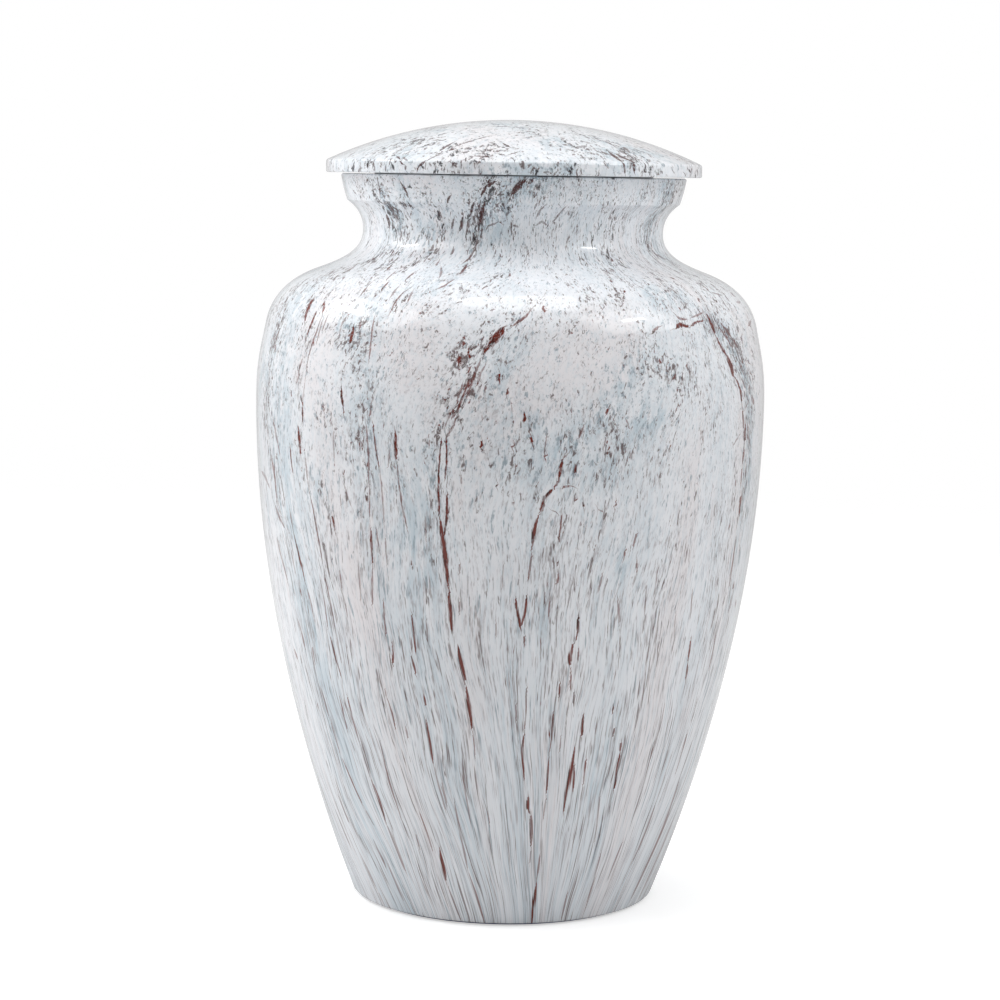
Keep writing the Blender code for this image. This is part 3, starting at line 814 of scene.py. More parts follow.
    (0.6, 0.5, -54, 178.8, -52.4, 189.6), (0.6, 0.45, -52.4, 189.6, -50.8, 201.6),
    (0.7, 0.5, -50.8, 201.6, -48.4, 210, -45.6, 218.1), (0.5, 0.45, -45.6, 218.1, -42.8, 224.4),
    (0.7, 0.5, -46.4, 179.4, -45.4, 192.6), (0.7, 0.5, -43.4, 179.1, -42.6, 187.8, -41.4, 196.5),
    (0.5, 0.4, -41.4, 196.5, -40, 207), (0.8, 0.6, -40, 207, -38.4, 213.6, -37.4, 222.6),
    (0.5, 0.6, -37.4, 222.6, -35.6, 230.4, -33.6, 240),
    (0.5, 0.45, -37.4, 188.1, -36.4, 195.6, -35.2, 201.6),
    (0.5, 0.4, -34.4, 192, -33.4, 207, -31.2, 220.5), (0.9, 0.5, -30.4, 177.9, -29.4, 183, -28.8, 189),
    (0.6, 0.35, -30.8, 174, -30.4, 177.9), (0.5, 0.4, -26, 186.6, -25.4, 192),
    (0.8, 0.45, -20.2, 175.8, -19.6, 180), (0.8, 0.45, -20, 183.6, -19.4, 192, -19, 199.5),
    (0.5, 0.35, -19, 199.5, -18, 207, -16.4, 216), (0.6, 0.4, -24.8, 216.6, -23.4, 223.5, -22, 231),
    (0.9, 0.65, -19.8, 228, -19.2, 235.5, -18.8, 241.8),
    (0.6, 0.4, -18.8, 241.8, -16.8, 249, -14.8, 255.9), (0.5, 0.4, -14, 210, -12.6, 224.1, -11, 237),
    (0.6, 0.45, -11, 237, -8.6, 246, -6, 256.8), (0.5, 0.4, -11.4, 201, -10.4, 210, -9.2, 221.4),
    (0.6, 0.35, -5.6, 210, -4.6, 214.5, -3.8, 219.9), (0.6, 0.6, -64.6, 222, -62.4, 230.4, -60.4, 237),
    (0.6, 0.6, -58.6, 216, -57.2, 222.9, -55.8, 227.1), (0.6, 0.8, -55, 237, -52.8, 243.6, -51, 249.6),
    (0.5, 0.7, -51, 249.6, -48.8, 257.4), (0.5, 0.4, -17.2, 204, -16, 213.6),
    (0.5, 0.4, -27.2, 223.5, -26.4, 230.4), (0.5, 0.5, -45, 229.5, -42, 240),
    (0.5, 0.5, -41, 237, -37.6, 252), (0.8, 0.7, -65.6, 168, -64, 172.5),
    (0.6, 0.7, -62, 169.5, -61.6, 174), (0.6, 0.7, -59.6, 157.5, -58, 168),
    (0.6, 0.5, -54.6, 165, -54.4, 171.6),
)


def as_veins(rows):
    """Rows of plain numbers as a strength, half a width and a path each."""
    return [(row[0], row[1], [(row[i], row[i + 1]) for i in range(2, len(row), 2)]) for row in rows]


# %% [markdown]
# ## The veins round the back
#
# The far side isn't named vein by vein. It is grown instead: a seeded random generator scatters short
# dashes, some at random and some in loose clusters, and each follows the strand it starts on. They are
# short at the shoulder and long near the foot, as on the front.

# %% Grow the veins round the back
BACK_VEINS, CLUSTERS = 230, 16
BACK_FROM, BACK_TO = 82, 278
HIGHEST_START, LOWEST_START, LOWEST_END = 1, 235, 252
SHARE_LOOSE = 0.45
CLUSTER_WIDTH, CLUSTER_HEIGHT = 5, 16
LENGTH_DOUBLES_AT = 110
PATH_STEP = 7
UNSTEADINESS = 0.25
random_draw = np.random.default_rng(7)


def grown_vein(strand, start, length, strength, half_width):
    """A vein that follows a strand down from its start, a little unsteadily."""
    path = []
    for step in np.linspace(0, length, int(length / PATH_STEP) + 2):
        places, names = strands_at(start + step)
        place = np.interp((strand - names[0]) % FULL_TURN + names[0], names, places)
        path.append((place + random_draw.normal(0, UNSTEADINESS), start + step))
    return strength, half_width, path


def grown_veins(count):
    """Veins scattered over the back, in a few loose clusters."""
    back = (BACK_FROM, BACK_TO)
    clusters = [(random_draw.uniform(*back), random_draw.uniform(5, 210)) for _ in range(CLUSTERS)]
    veins = []
    for _ in range(count):
        centre, level = clusters[random_draw.integers(len(clusters))]
        if random_draw.random() < SHARE_LOOSE:
            strand = random_draw.uniform(*back)
            start = random_draw.uniform(2, 225)
        else:
            strand = centre + random_draw.normal(0, CLUSTER_WIDTH)
            start = level + random_draw.normal(0, CLUSTER_HEIGHT)
        start = float(np.clip(start, HIGHEST_START, LOWEST_START))
        length = random_draw.uniform(2, 7) * (1 + (start / LENGTH_DOUBLES_AT) ** 2)
        strength = random_draw.choice([1.0, 0.8, 0.6, 0.5], p=[0.2, 0.25, 0.3, 0.25])
        half_width = random_draw.uniform(0.35, 0.65) * (1.3 if strength == 1 else 1)
        if BACK_FROM < strand < BACK_TO:
            length = min(length, LOWEST_END - start)
            veins.append(grown_vein(strand, start, length, strength, half_width))
    return veins


ring_order = np.argsort(down)
ring_down, ring_radius = down[ring_order], radius[ring_order]
outside = ring_down > 0


def body_radius_at(level):
    """The body's radius in mm, by the travel down from the top of the collar."""
    return np.interp(level, ring_down[outside], ring_radius[outside])


body_veins = as_veins(FRONT_VEINS) + grown_veins(BACK_VEINS)
draw_veins(urn_body, body_veins, around, down, radius, body_radius_at)

# %% [markdown]
# ## Washes of colour
#
# Under the flecks the film has broad soft strokes: blue-grey ones, warm ones, and places where dark
# flecks crowd together. They change over several millimetres, so a number at each vertex is enough.
# They are brushed on along paths with a bell-shaped brush.

# %% Brush on the washes
BLUE, CROWD, WARM = 0, 1, 2


def brushed(strokes, around, down, radius):
    """The strongest of the soft strokes at each place."""
    total = np.zeros_like(around)
    for strength, half_width, path in strokes:
        side, _, past = to_each_side(path, around, down, np.maximum(radius, 1))
        total = np.maximum(total, strength * np.exp(-(side**2 + past**2) / half_width**2))
    return total


def tint(piece, washes, around, down, radius):
    """Keeps the blue, the crowding and the warmth of a piece as one vector."""
    kinds = (BLUE, CROWD, WARM)
    layers = [brushed(as_veins(washes[kind]), around, down, radius) for kind in kinds]
    keep(piece, "tint", np.stack(layers, axis=1))
    print(f"{piece.name}: blue over {np.mean(layers[BLUE] > 0.3):.0%} of its vertices")


BODY_WASHES = {
    BLUE: (
        (0.6, 9, -60, 57, -61, 78, -60, 99, -57, 126, -55, 150, -52, 174, -50, 195, -44, 222, -37, 255),
        (0.5, 8, -68, 72, -66, 99, -65, 120),
        (0.6, 6, -33, 58, -33, 72, -31, 96, -30, 126, -29, 150, -27, 180),
        (0.5, 5, -37, 57, -30, 60),
        (0.55, 7, -22, 114, -20, 135, -19, 156, -16, 180, -14, 204, -10, 234, -7, 255),
        (0.75, 4.5, 2, 64, -0.6, 70, -2.4, 76, -4, 82),
        (0.5, 3, -16, 99, -17, 120, -16, 141),
        (0.8, 5, 10, 99, 14, 94, 18, 90, 21, 85, 24, 79, 27, 73),
        (0.5, 6, 24, 96, 21, 103, 16, 105, 12, 105),
        (0.35, 10, -6, 99, 0, 99, 8, 102),
        (0.95, 4.5, 51, 60, 56, 64, 60, 70, 63, 79, 65.6, 87, 66.6, 99, 66.6, 114, 66.6, 126),
        (0.5, 6, 66, 126, 67, 156, 67, 186, 65, 210, 62, 231, 58, 255),
        (0.95, 6, 8, -1, 0, 3, -7, 9, -11, 15),
        (0.5, 3.5, -11, 15, -14.4, 25, -16.4, 36, -19.6, 49),
        (0.9, 3.5, -50, 7, -48, 12, -47.6, 17),
        (0.6, 3, -39, 1, -37.4, 6, -36.4, 11, -36.4, 18),
        (0.8, 6, 60, 0, 61, 9, 63, 18, 66, 27),
        (0.4, 4, -25, 18, -22, 13),
        (0.35, 4, -25, 28, -25, 39, -24, 51),
        (0.4, 3, -20.6, 33, -19, 45),
        (0.5, 3, 11.6, 180, 11.2, 210, 11, 255),
        (0.45, 4, 29, 180, 30, 210, 30.6, 255),
        (0.3, 4, 18, 210, 17.4, 255),
        (0.35, 4, 0, 168, 2.4, 195, 5, 228, 7, 255),
        (0.7, 7, 96, 20, 104, 60, 110, 100, 108, 150, 104, 200, 98, 255),
        (0.8, 6, 150, 0, 146, 40, 138, 90, 132, 140, 130, 200, 128, 255),
        (0.6, 9, 178, 60, 186, 120, 190, 180, 190, 255),
        (0.8, 5, 228, 30, 214, 70, 206, 110, 204, 160, 208, 255),
        (0.6, 8, 248, 40, 246, 100, 244, 160, 256, 255),
        (0.6, 8, 272, 80, 272, 150, 290, 250),
    ),
    CROWD: (
        (0.4, 4, 9, -1, -2, 4, -8, 10, -12, 18),
        (0.9, 4.5, -1, 60, -7, 67, -11, 73),
        (0.8, 4, -8, 72, -12, 90, -14, 99),
        (0.35, 12, -14, 99, 0, 102, 14, 104, 22, 99),
        (0.5, 4, 21, 87, 12, 100, 7, 112),
        (1, 4.6, 52, 60, 57, 66, 61, 73, 64, 85, 65, 99, 65, 120, 65.4, 150),
        (0.35, 11, 36, 26, 54, 40, 68, 54, 76, 66),
        (0.35, 9, -40, 24, -54, 40, -66, 54, -72, 66),
        (0.6, 3, -54, 56, -54, 62),
        (0.5, 3, -50, 58, -50, 66),
        (0.9, 6, -66, 72, -66, 90, -65, 105, -63, 120, -61, 140),
        (0.35, 4, -49, 10, -47, 17),
        (0.6, 4, 62, 2, 62, 24),
        (0.6, 6, 102, 30, 110, 90, 108, 140),
        (0.9, 5, 148, 10, 142, 60, 133, 120),
        (0.8, 5, 222, 50, 208, 100, 204, 150),
        (0.5, 8, 180, 80, 188, 130),
        (0.6, 6, 250, 60, 246, 120),
    ),
    WARM: (
        (0.8, 7, -44, 90, -42, 114, -40, 135, -37, 156),
        (0.6, 4, -10, 141, -8, 156, -7, 180),
        (0.7, 3, 9, 192, 10, 216, 10, 240),
        (0.4, 6, 8, 141, 0, 135),
        (0.7, 8, 120, 60, 118, 120, 116, 180),
        (0.7, 7, 168, 80, 170, 150, 172, 220),
        (0.7, 8, 232, 90, 230, 150, 236, 220),
    ),
}
tint(urn_body, BODY_WASHES, around, down, radius)

# %% [markdown]
# ## The print on the lid
#
# The lid meets the film crown first, so its pattern spreads outwards from the crown and is drawn out
# towards the rim. Its `print` vector lies in one plane: the direction from the crown, and a distance
# that grows more slowly the further out it is. The veins are placed as on the body, with the travel
# counted from the crown.

# %% Lay out the print on the lid
EVEN_TO = 38
LID_PRINT_LEVEL = 400

lid_around, lid_travel, lid_ring_radius = measure(lid)
lid_reach = EVEN_TO * np.log1p(lid_travel / EVEN_TO)
lid_angle = np.radians(lid_around)
lid_print_level = np.full_like(lid_reach, LID_PRINT_LEVEL)
lid_sideways, lid_forwards = lid_reach * np.sin(lid_angle), -lid_reach * np.cos(lid_angle)
keep(lid, "print", np.stack([lid_sideways, lid_forwards, lid_print_level], axis=1))
print(f"the lid's print reaches {lid_reach.max():.0f} mm of pattern from the crown")

# %% Name the veins on the front of the lid
FRONT_LID_VEINS = (
    (1, 0.6, -22, 55, -20.5, 53.2), (0.8, 0.35, -21, 50.8, -16.5, 45, -11, 40),
    (0.8, 0.5, -25, 55.5, -24.5, 50.5, -23.5, 46.5), (0.9, 0.5, -9.5, 58, -7.5, 60),
    (0.8, 0.45, -13.5, 58.8, -9, 59.2), (0.9, 0.5, -5.5, 56.8, -2.5, 58.2),
    (0.8, 0.4, -2, 57.5, 1.5, 54.8), (1, 0.5, -4.5, 47.8, -1.5, 51.5), (0.7, 0.35, -10, 54.8, -6, 52.5),
    (0.6, 0.35, -17.5, 53, -14.5, 51), (0.9, 0.6, -38.5, 59.8, -35.5, 62),
    (0.9, 0.6, -35.5, 63, -34, 63.8), (0.6, 0.4, -35, 61, -32.5, 62.8),
    (0.8, 0.4, -29.5, 66.2, -28.5, 64, -26, 62.5), (0.7, 0.35, -26, 62.5, -25, 60, -23, 57.8),
    (0.6, 0.4, -52.5, 64.5, -51.5, 65.8), (0.6, 0.4, -49, 63.5, -48, 65.5),
    (0.6, 0.4, -45.5, 64, -45, 65.8), (0.5, 0.4, -43, 63.2, -42, 64), (0.6, 0.4, -41, 64.2, -40.5, 66),
    (0.6, 0.4, -33.5, 64.2, -33, 65.5), (0.9, 0.7, 33.5, 53, 33, 57.2, 33.5, 61.2),
    (1, 0.6, 35, 55.2, 36, 58.5, 38, 61.8), (0.8, 0.5, 40.5, 43.2, 40.5, 46.8, 40.5, 49.5),
    (0.7, 0.5, 38.5, 52.8, 40, 56.2), (0.8, 0.5, 33, 61.5, 33.5, 64, 34, 66),
    (0.8, 0.5, 37, 62, 37, 64, 37.5, 65.5), (0.6, 0.4, 36, 61.2, 35.5, 64.5),
    (0.7, 0.5, 54, 64, 55, 65), (0.8, 0.6, 61, 65, 62.5, 65.8), (0.8, 0.6, 64, 63.5, 66.5, 65),
    (0.5, 0.4, 39.5, 38.8, 38.5, 43.5), (0.6, 0.5, -17.5, 27, -7, 27, 6.5, 29.2),
    (0.5, 0.4, 9.5, 40, 14.5, 39), (0.5, 0.35, 2.5, 42.5, 8, 41.2), (0.4, 0.3, -37, 46, -36, 43),
    (0.5, 0.3, -18, 57, -15, 55), (0.5, 0.35, 8.5, 56, 10, 57), (0.5, 0.35, 14.5, 55, 16, 56),
    (0.5, 0.35, 18.5, 57.2, 19.5, 58.5), (0.5, 0.35, 19, 64.8, 20, 65.8),
    (0.5, 0.4, 24.5, 59, 24.5, 60.5), (0.4, 0.4, -61.5, 61.5, -64.5, 57.2),
    (0.4, 0.3, -62.5, 57.2, -63.5, 53), (0.5, 0.4, 54.5, 50, 55.5, 53.5),
    (0.5, 0.4, 53, 47.8, 56.5, 49.8), (0.5, 0.4, 43.5, 50.2, 46, 54), (0.4, 0.3, 9, 65, 9.5, 65.8),
    (0.4, 0.3, -4, 64, -4, 65), (0.4, 0.3, -21, 64.5, -20.5, 65.5), (0.4, 0.3, -15, 64, -14.5, 65.2),
)

# %% Grow the rest of the lid's veins
LID_BACK_VEINS = 120
LID_BACK_FROM, LID_BACK_TO = 75, 285
CROWN_KEPT_CLEAR, LID_SCATTER, LID_VEINS_END = 8, 54, 66


def grown_lid_veins(count):
    """Short dashes over the far side of the lid, pointing more or less away from the crown."""
    veins = []
    for _ in range(count):
        place = random_draw.uniform(LID_BACK_FROM, LID_BACK_TO)
        start = CROWN_KEPT_CLEAR + LID_SCATTER * math.sqrt(random_draw.random())
        lean, length = random_draw.normal(0, 3), random_draw.uniform(1.5, 6)
        path = [(place, start), (place + lean, min(start + length, LID_VEINS_END))]
        veins.append((random_draw.choice([1.0, 0.7, 0.5]), random_draw.uniform(0.3, 0.6), path))
    return veins


DOME_TRAVEL, LEAST_RADIUS = 62.6, 0.5


def lid_radius_at(level):
    """Nearly the lid's radius in mm, by the travel from the crown."""
    return np.interp(level, (0, DOME_TRAVEL), (LEAST_RADIUS, lid_radius / MM))


lid_veins = as_veins(FRONT_LID_VEINS) + grown_lid_veins(LID_BACK_VEINS)
draw_veins(lid, lid_veins, lid_around, lid_travel, lid_ring_radius, lid_radius_at)

# %% Brush on the lid's washes
LID_WASHES = {
    BLUE: (
        (0.8, 4, -28, 19, -12, 23, 0, 26, 6, 28),
        (0.5, 4, 8, 37, 12, 40),
        (0.8, 5, 40, 42, 44, 50, 50, 54, 56, 57),
        (0.6, 4, 33, 54, 34, 62),
        (0.5, 3, -14, 65, -4, 65, 8, 65, 16, 65),
        (0.4, 5, -42, 50, -34, 57),
        (0.7, 6, 120, 20, 140, 50),
        (0.7, 7, 190, 30, 200, 60),
        (0.6, 6, 250, 20, 262, 55),
    ),
    CROWD: (
        (0.9, 5, 33, 54, 37, 58, 42, 52, 50, 52),
        (0.4, 6, -20, 55, -8, 57, 0, 54),
        (0.7, 3, -36, 61, -34, 63),
        (0.7, 7, 130, 40, 150, 58),
        (0.6, 7, 200, 40, 210, 60),
        (0.7, 6, 262, 45, 270, 60),
    ),
    WARM: ((0.5, 7, 60, 50, 72, 60), (0.4, 8, 100, 40, 110, 60)),
}
tint(lid, LID_WASHES, lid_around, lid_travel, lid_ring_radius)

# %% [markdown]
# ## Writing a material as sums
#
# A procedural material is a net of nodes, and a net drawn in Python node by node is hard to read.
# A small class wraps a socket, so that an expression such as `1 - mask * 0.5` adds its own Math
# nodes. Vectors take Vector Math instead, because a Math node would keep only one number of them.
# Every other kind of node comes from one method, `add`.

# %% A socket that can be used in sums
class Wire:
    """An output socket of a net of nodes. Sums on it add the nodes that work them out."""

    def __init__(self, net, socket):
        self.net, self.socket = net, socket

    def maths(self, operation, *others):
        """One Math node on this wire and others, or a Vector Math node if this wire is a vector."""
        kind = "ShaderNodeVectorMath" if self.socket.type == "VECTOR" else "ShaderNodeMath"
        return self.net.add(kind, {"operation": operation}, dict(enumerate((self, *others))))

    def __add__(self, other):
        return self.maths("ADD", other)

    __radd__ = __add__

    def __sub__(self, other):
        return self.maths("SUBTRACT", other)

    def __rsub__(self, other):
        return self.net.add("ShaderNodeMath", {"operation": "SUBTRACT"}, {0: other, 1: self})

    def __mul__(self, other):
        return self.maths("MULTIPLY", other)

    __rmul__ = __mul__

    def __abs__(self):
        return self.maths("ABSOLUTE")

    def most(self, other):
        """The greater of this wire and another."""
        return self.maths("MAXIMUM", other)

    def ramp(self, start, end):
        """0 up to the start, 1 from the end on, and a smooth rise between them."""
        sockets = {"Value": self, "From Min": start, "From Max": end}
        return self.net.add("ShaderNodeMapRange", {"interpolation_type": "SMOOTHSTEP"}, sockets)

    def parts(self):
        """The three numbers of a vector."""
        node = self.net.add("ShaderNodeSeparateXYZ", {}, {0: self}).socket.node
        return [Wire(self.net, output) for output in node.outputs]


# %% The net itself
MIX_SHARE, MIX_FIRST, MIX_SECOND, MIX_RESULT = 0, 6, 7, 2


def colour(value):
    """A colour as four numbers; a wire is left as it is."""
    return value if isinstance(value, Wire) else (*value, 1)


class Net:
    """The nodes of a material, or of the room's light, while they are being made."""

    def __init__(self, owner):
        owner.use_nodes = True
        self.owner, self.tree = owner, owner.node_tree
        self.tree.nodes.clear()

    def add(self, kind, settings, sockets, output=0):
        """Adds any node: first its settings, then its sockets. Gives back one of its outputs, if any."""
        node = self.tree.nodes.new(kind)
        for key, value in settings.items():
            setattr(node, key, value)
        for key, value in sockets.items():
            if isinstance(value, Wire):
                self.tree.links.new(value.socket, node.inputs[key])
            else:
                node.inputs[key].default_value = value
        return Wire(self, node.outputs[output]) if node.outputs else None

    def stored(self, name, output="Vector"):
        """What is kept under a name at the piece's vertices."""
        return self.add("ShaderNodeAttribute", {"attribute_name": name}, {}, output)

    def object_place(self):
        """The place on the piece, in metres from the origin."""
        return self.add("ShaderNodeTexCoord", {}, {}, "Object")

    def noise(self, place, size, detail=2.0, roughness=0.5, distortion=0.0):
        """Soft noise whose lumps are about this size, in the units of the place."""
        sockets = {"Vector": place, "Scale": 1 / size, "Detail": detail, "Roughness": roughness}
        return self.add("ShaderNodeTexNoise", {}, {**sockets, "Distortion": distortion}, "Fac")

    def bump(self, height, strength, distance):
        """A normal that follows a height, whose full range is this many metres."""
        sockets = {"Strength": strength, "Distance": distance, "Height": height}
        return self.add("ShaderNodeBump", {}, sockets)

    def mixed(self, first, second, share):
        """One colour over another."""
        settings = {"data_type": "RGBA", "clamp_factor": True}
        sockets = {MIX_SHARE: share, MIX_FIRST: colour(first), MIX_SECOND: colour(second)}
        return self.add("ShaderNodeMix", settings, sockets, MIX_RESULT)

    def end_in(self, shader, end="ShaderNodeOutputMaterial"):
        """Joins the last shader to the output, and gives back what the net belongs to."""
        self.add(end, {}, {"Surface": shader})
        print(f"{self.owner.name}: {len(self.tree.nodes)} nodes")
        return self.owner

    def finish(self, sockets):
        """Ends the net in the one shader that stands for nearly every surface."""
        return self.end_in(self.add("ShaderNodeBsdfPrincipled", {}, sockets))


def from_screen(red, green, blue):
    """A colour as a screen gives it, 0 to 255, turned into the amounts of light a shader works with."""
    def light(part):
        share = part / 255
        return share / 12.92 if share <= 0.04045 else ((share + 0.055) / 1.055) ** 2.4
    return light(red), light(green), light(blue)


# %% [markdown]
# ## The marble lacquer
#
# The real finish is a white ground, the printed film and a thick clear coat. The net follows that
# order. Washes of warm white and pale blue come first, then fine fibres, six runs of flecks, and the
# drawn veins. All of it feeds the base colour, and the clear coat on top is the same everywhere.
#
# A run of flecks is a noise cut off at a level: only its peaks are ink. Whatever pulls the noise up,
# such as the crowded places of the film, gives more and larger flecks there. A broad noise, the
# veils, pulls at nearly every run, so that the flecks come in drifts and not evenly.

# %% Mix the inks
WHITE_GROUND = from_screen(247, 249, 253)
WARM_WHITE = from_screen(244, 240, 242)
PALE_BLUE = from_screen(196, 213, 223)
SLATE_BLUE = from_screen(132, 150, 163)
MAUVE_GREY = from_screen(138, 126, 131)
GREY_BROWN = from_screen(98, 79, 78)
BROWN_GREY = from_screen(112, 90, 88)
CHARCOAL = from_screen(36, 32, 38)
DARK_BROWN = from_screen(58, 20, 16)
RED_BROWN = from_screen(116, 44, 32)
NECK_BLACKNESS = {"flecks": 0.75, "veins": 0.6}
print("white ground as light:", [round(part, 3) for part in WHITE_GROUND])

# %% [markdown]
# ## Ink for the veins
#
# The shader takes the six pairs of numbers that were kept at the vertices. Where a side passes zero
# there is a line. A fine noise is added to the side first, which makes the line's edges ragged. A
# broader one thins the line here and there, as ink does when the film is stretched, and it is thinned
# a little more low down.

# %% Ink the veins
RAGGED_SIZE, SWELLING_SIZE, HAIR_SIZE = 0.9, 3.4, 0.5
RAGGEDNESS = 2.3
THINNED_BY_STRETCH, THINNED_LOW_DOWN = 0.4, 0.12
EDGE_FULL, EDGE_GONE = 0.65, 1.35


def vein_ink(net, place, low):
    """How much vein ink lies at each place, from the six layers, and the noise of its ragged edges."""
    ragged = net.noise(place, RAGGED_SIZE, detail=3.0, roughness=0.7) - 0.5
    swelling = net.noise(place, SWELLING_SIZE)
    hairs = net.noise(place, HAIR_SIZE)
    thinning = swelling.ramp(0.58, 0.4) * THINNED_BY_STRETCH + low * THINNED_LOW_DOWN
    total = None
    for letter in "ab":
        sides = net.stored("sides_" + letter).parts()
        inks = net.stored("ink_" + letter).parts()
        for side, ink in zip(sides, inks):
            edge = abs(side + ragged * RAGGEDNESS) + thinning
            line = (1 - edge.ramp(EDGE_FULL, EDGE_GONE)) * ink
            total = line if total is None else total.most(line)
    return total * (0.7 + hairs.ramp(0.34, 0.52) * 0.5), ragged


# %% [markdown]
# ## The runs of flecks
#
# Each run has one ink, one size of lump, and a list of what pulls it up or down. Small pale flecks lie
# under larger dark ones, and thin brown threads are added low on the flank, where the film is drawn
# out. Round the neck and on the lid the dark ink is nearly black.

# %% Describe a run of flecks
class Flecks(NamedTuple):
    """A run of flecks: lumps of one size in mm, the levels where ink starts and is full, what pulls."""

    ink: object
    size: float
    starts: float
    full: float
    strength: object
    pulls: tuple
    detail: float = 3.0
    roughness: float = 0.65
    distortion: float = 0.0


def laid_over(net, under, place, run):
    """A run of flecks over the colours that are there already."""
    peaks = net.noise(place, run.size, run.detail, run.roughness, run.distortion)
    for wire, pull in run.pulls:
        peaks = peaks + wire * pull
    return net.mixed(under, run.ink, peaks.ramp(run.starts, run.full) * run.strength)


# %% Mix the marble lacquer
DRIFT_SIZE, VEIL_SIZE, WASH_SIZE, FIBRE_SIZE = 22, 8, 3, 1.1
FLANK_TOP, FLANK_FOOT = 0.185, 0.07
SHOULDER_FROM, SHOULDER_TO = 0.15, 0.2
NECK_FROM, NECK_TO = 0.196, 0.218


def marble_lacquer():
    net = Net(bpy.data.materials.new("marble lacquer"))
    place = net.stored("print")
    blue, crowd, warm = net.stored("tint").parts()
    spot = net.object_place()
    _, _, level = spot.parts()
    low = level.ramp(FLANK_TOP, FLANK_FOOT)
    high = level.ramp(SHOULDER_FROM, SHOULDER_TO)
    top = level.ramp(NECK_FROM, NECK_TO)

    drift = net.noise(place, DRIFT_SIZE, detail=3.0)
    veils = net.noise(place, VEIL_SIZE, detail=3.0, roughness=0.6) - 0.5
    wash = net.noise(place, WASH_SIZE, detail=4.0, roughness=0.65)
    fibres = net.noise(place, FIBRE_SIZE, detail=4.0, roughness=0.7)
    ground = net.mixed(WHITE_GROUND, WARM_WHITE, warm * 0.9 + drift.ramp(0.5, 0.65) * 0.7)
    blueness = (blue * 0.7 + top * 0.1 + drift.ramp(0.5, 0.38) * 0.22) * wash.ramp(0.34, 0.6)
    coloured = net.mixed(ground, PALE_BLUE, blueness + fibres.ramp(0.46, 0.72) * 0.35)

    spot_colour = net.mixed(GREY_BROWN, CHARCOAL, top)
    brown = net.mixed(DARK_BROWN, RED_BROWN, wash.ramp(0.38, 0.54))
    dash_colour = net.mixed(brown, CHARCOAL, top * NECK_BLACKNESS["flecks"])
    speck_pulls = (crowd, 0.075), (blue, 0.03), (veils, 0.4), (low, -0.03), (top, 0.015)
    dash_pulls = (crowd, 0.07), (veils, 0.3), (low, -0.02), (high, 0.012), (top, 0.018)
    runs = {
        "grain": Flecks(MAUVE_GREY, 0.65, 0.49, 0.72, 0.32 + low * 0.33 - top * 0.12, ((veils, 0.25),)),
        "slate": Flecks(SLATE_BLUE, 1.15, 0.57, 0.72, 0.75, ((blue, 0.07), (crowd, 0.03), (top, 0.01)),
                        roughness=0.7),
        "specks": Flecks(GREY_BROWN, 0.95, 0.585, 0.71, 0.88, speck_pulls, distortion=0.6),
        "spots": Flecks(spot_colour, 1.7, 0.61, 0.67, high * 0.92, ((crowd, 0.06), (veils, 0.3)),
                        detail=3.5, roughness=0.7, distortion=0.5),
        "dashes": Flecks(dash_colour, 1.3, 0.67, 0.73, 0.92, dash_pulls, distortion=0.6),
        "threads": Flecks(BROWN_GREY, 0.85, 0.6, 0.69, low * 0.75, ((veils, 0.3),),
                          detail=2.5, roughness=0.6),
    }
    for run in runs.values():
        coloured = laid_over(net, coloured, place, run)
    print("runs of flecks:", ", ".join(runs))

    veins, ragged = vein_ink(net, place, low)
    brown = net.mixed(DARK_BROWN, RED_BROWN, ragged.ramp(-0.16, 0.04))
    coloured = net.mixed(coloured, net.mixed(brown, CHARCOAL, top * NECK_BLACKNESS["veins"]), veins)
    return net.finish({
        "Base Color": coloured,
        "Roughness": 0.42,
        "Normal": net.bump(net.noise(spot, 2.5 * MM, detail=1.0), 0.15, 0.05 * MM),
        "IOR": 1.5,
        "Specular IOR Level": 0.1,
        "Coat Weight": 1.0,
        "Coat Roughness": 0.025,
        "Coat IOR": 1.5,
    })


marble = marble_lacquer()

# %% [markdown]
# ## Bare metal inside
#
# Inside, and under the lid, the aluminium is left as the lathe left it: bright, with fine rings. The
# rings follow the travel along the outline, which the turning kept, so they run round the piece at
# every slope.

# %% Make the turned aluminium
DULL_METAL, BRIGHT_METAL = from_screen(196, 198, 200), from_screen(222, 223, 224)


def turned_aluminium():
    net = Net(bpy.data.materials.new("turned aluminium"))
    ring = net.add("ShaderNodeCombineXYZ", {}, {"X": net.stored("travel", "Fac")})
    rings = net.noise(ring, 0.5 * MM, detail=4.0, roughness=0.7)
    clouds = net.noise(net.object_place(), 18 * MM, detail=3.0)
    return net.finish({
        "Base Color": net.mixed(DULL_METAL, BRIGHT_METAL, rings),
        "Metallic": 1.0,
        "Roughness": 0.3 + rings * 0.16 + clouds * 0.12,
        "Normal": net.bump(rings, 0.3, 0.03 * MM),
    })


aluminium = turned_aluminium()

# %% [markdown]
# ## Felt
#
# Pressed felt has no weave. Its fibres lie every way in a matt tangle, so a fine noise stands for
# the fibres and a coarse one for the uneven dye. A little sheen lightens it where it is seen edge on.

# %% Make the felt
NAVY, FADED_NAVY = from_screen(30, 38, 104), from_screen(66, 80, 168)


def navy_felt():
    net = Net(bpy.data.materials.new("navy felt"))
    place = net.object_place()
    fibres = net.noise(place, 0.35 * MM, detail=5.0, roughness=0.75, distortion=1.5)
    dye = net.noise(place, 9 * MM, detail=3.0)
    paleness = fibres * 0.7 + dye * 0.3
    return net.finish({
        "Base Color": net.mixed(NAVY, FADED_NAVY, paleness),
        "Roughness": 0.95,
        "Sheen Weight": 0.4,
        "Sheen Roughness": 0.6,
        "Normal": net.bump(fibres, 0.8, 0.12 * MM),
    })


felt = navy_felt()

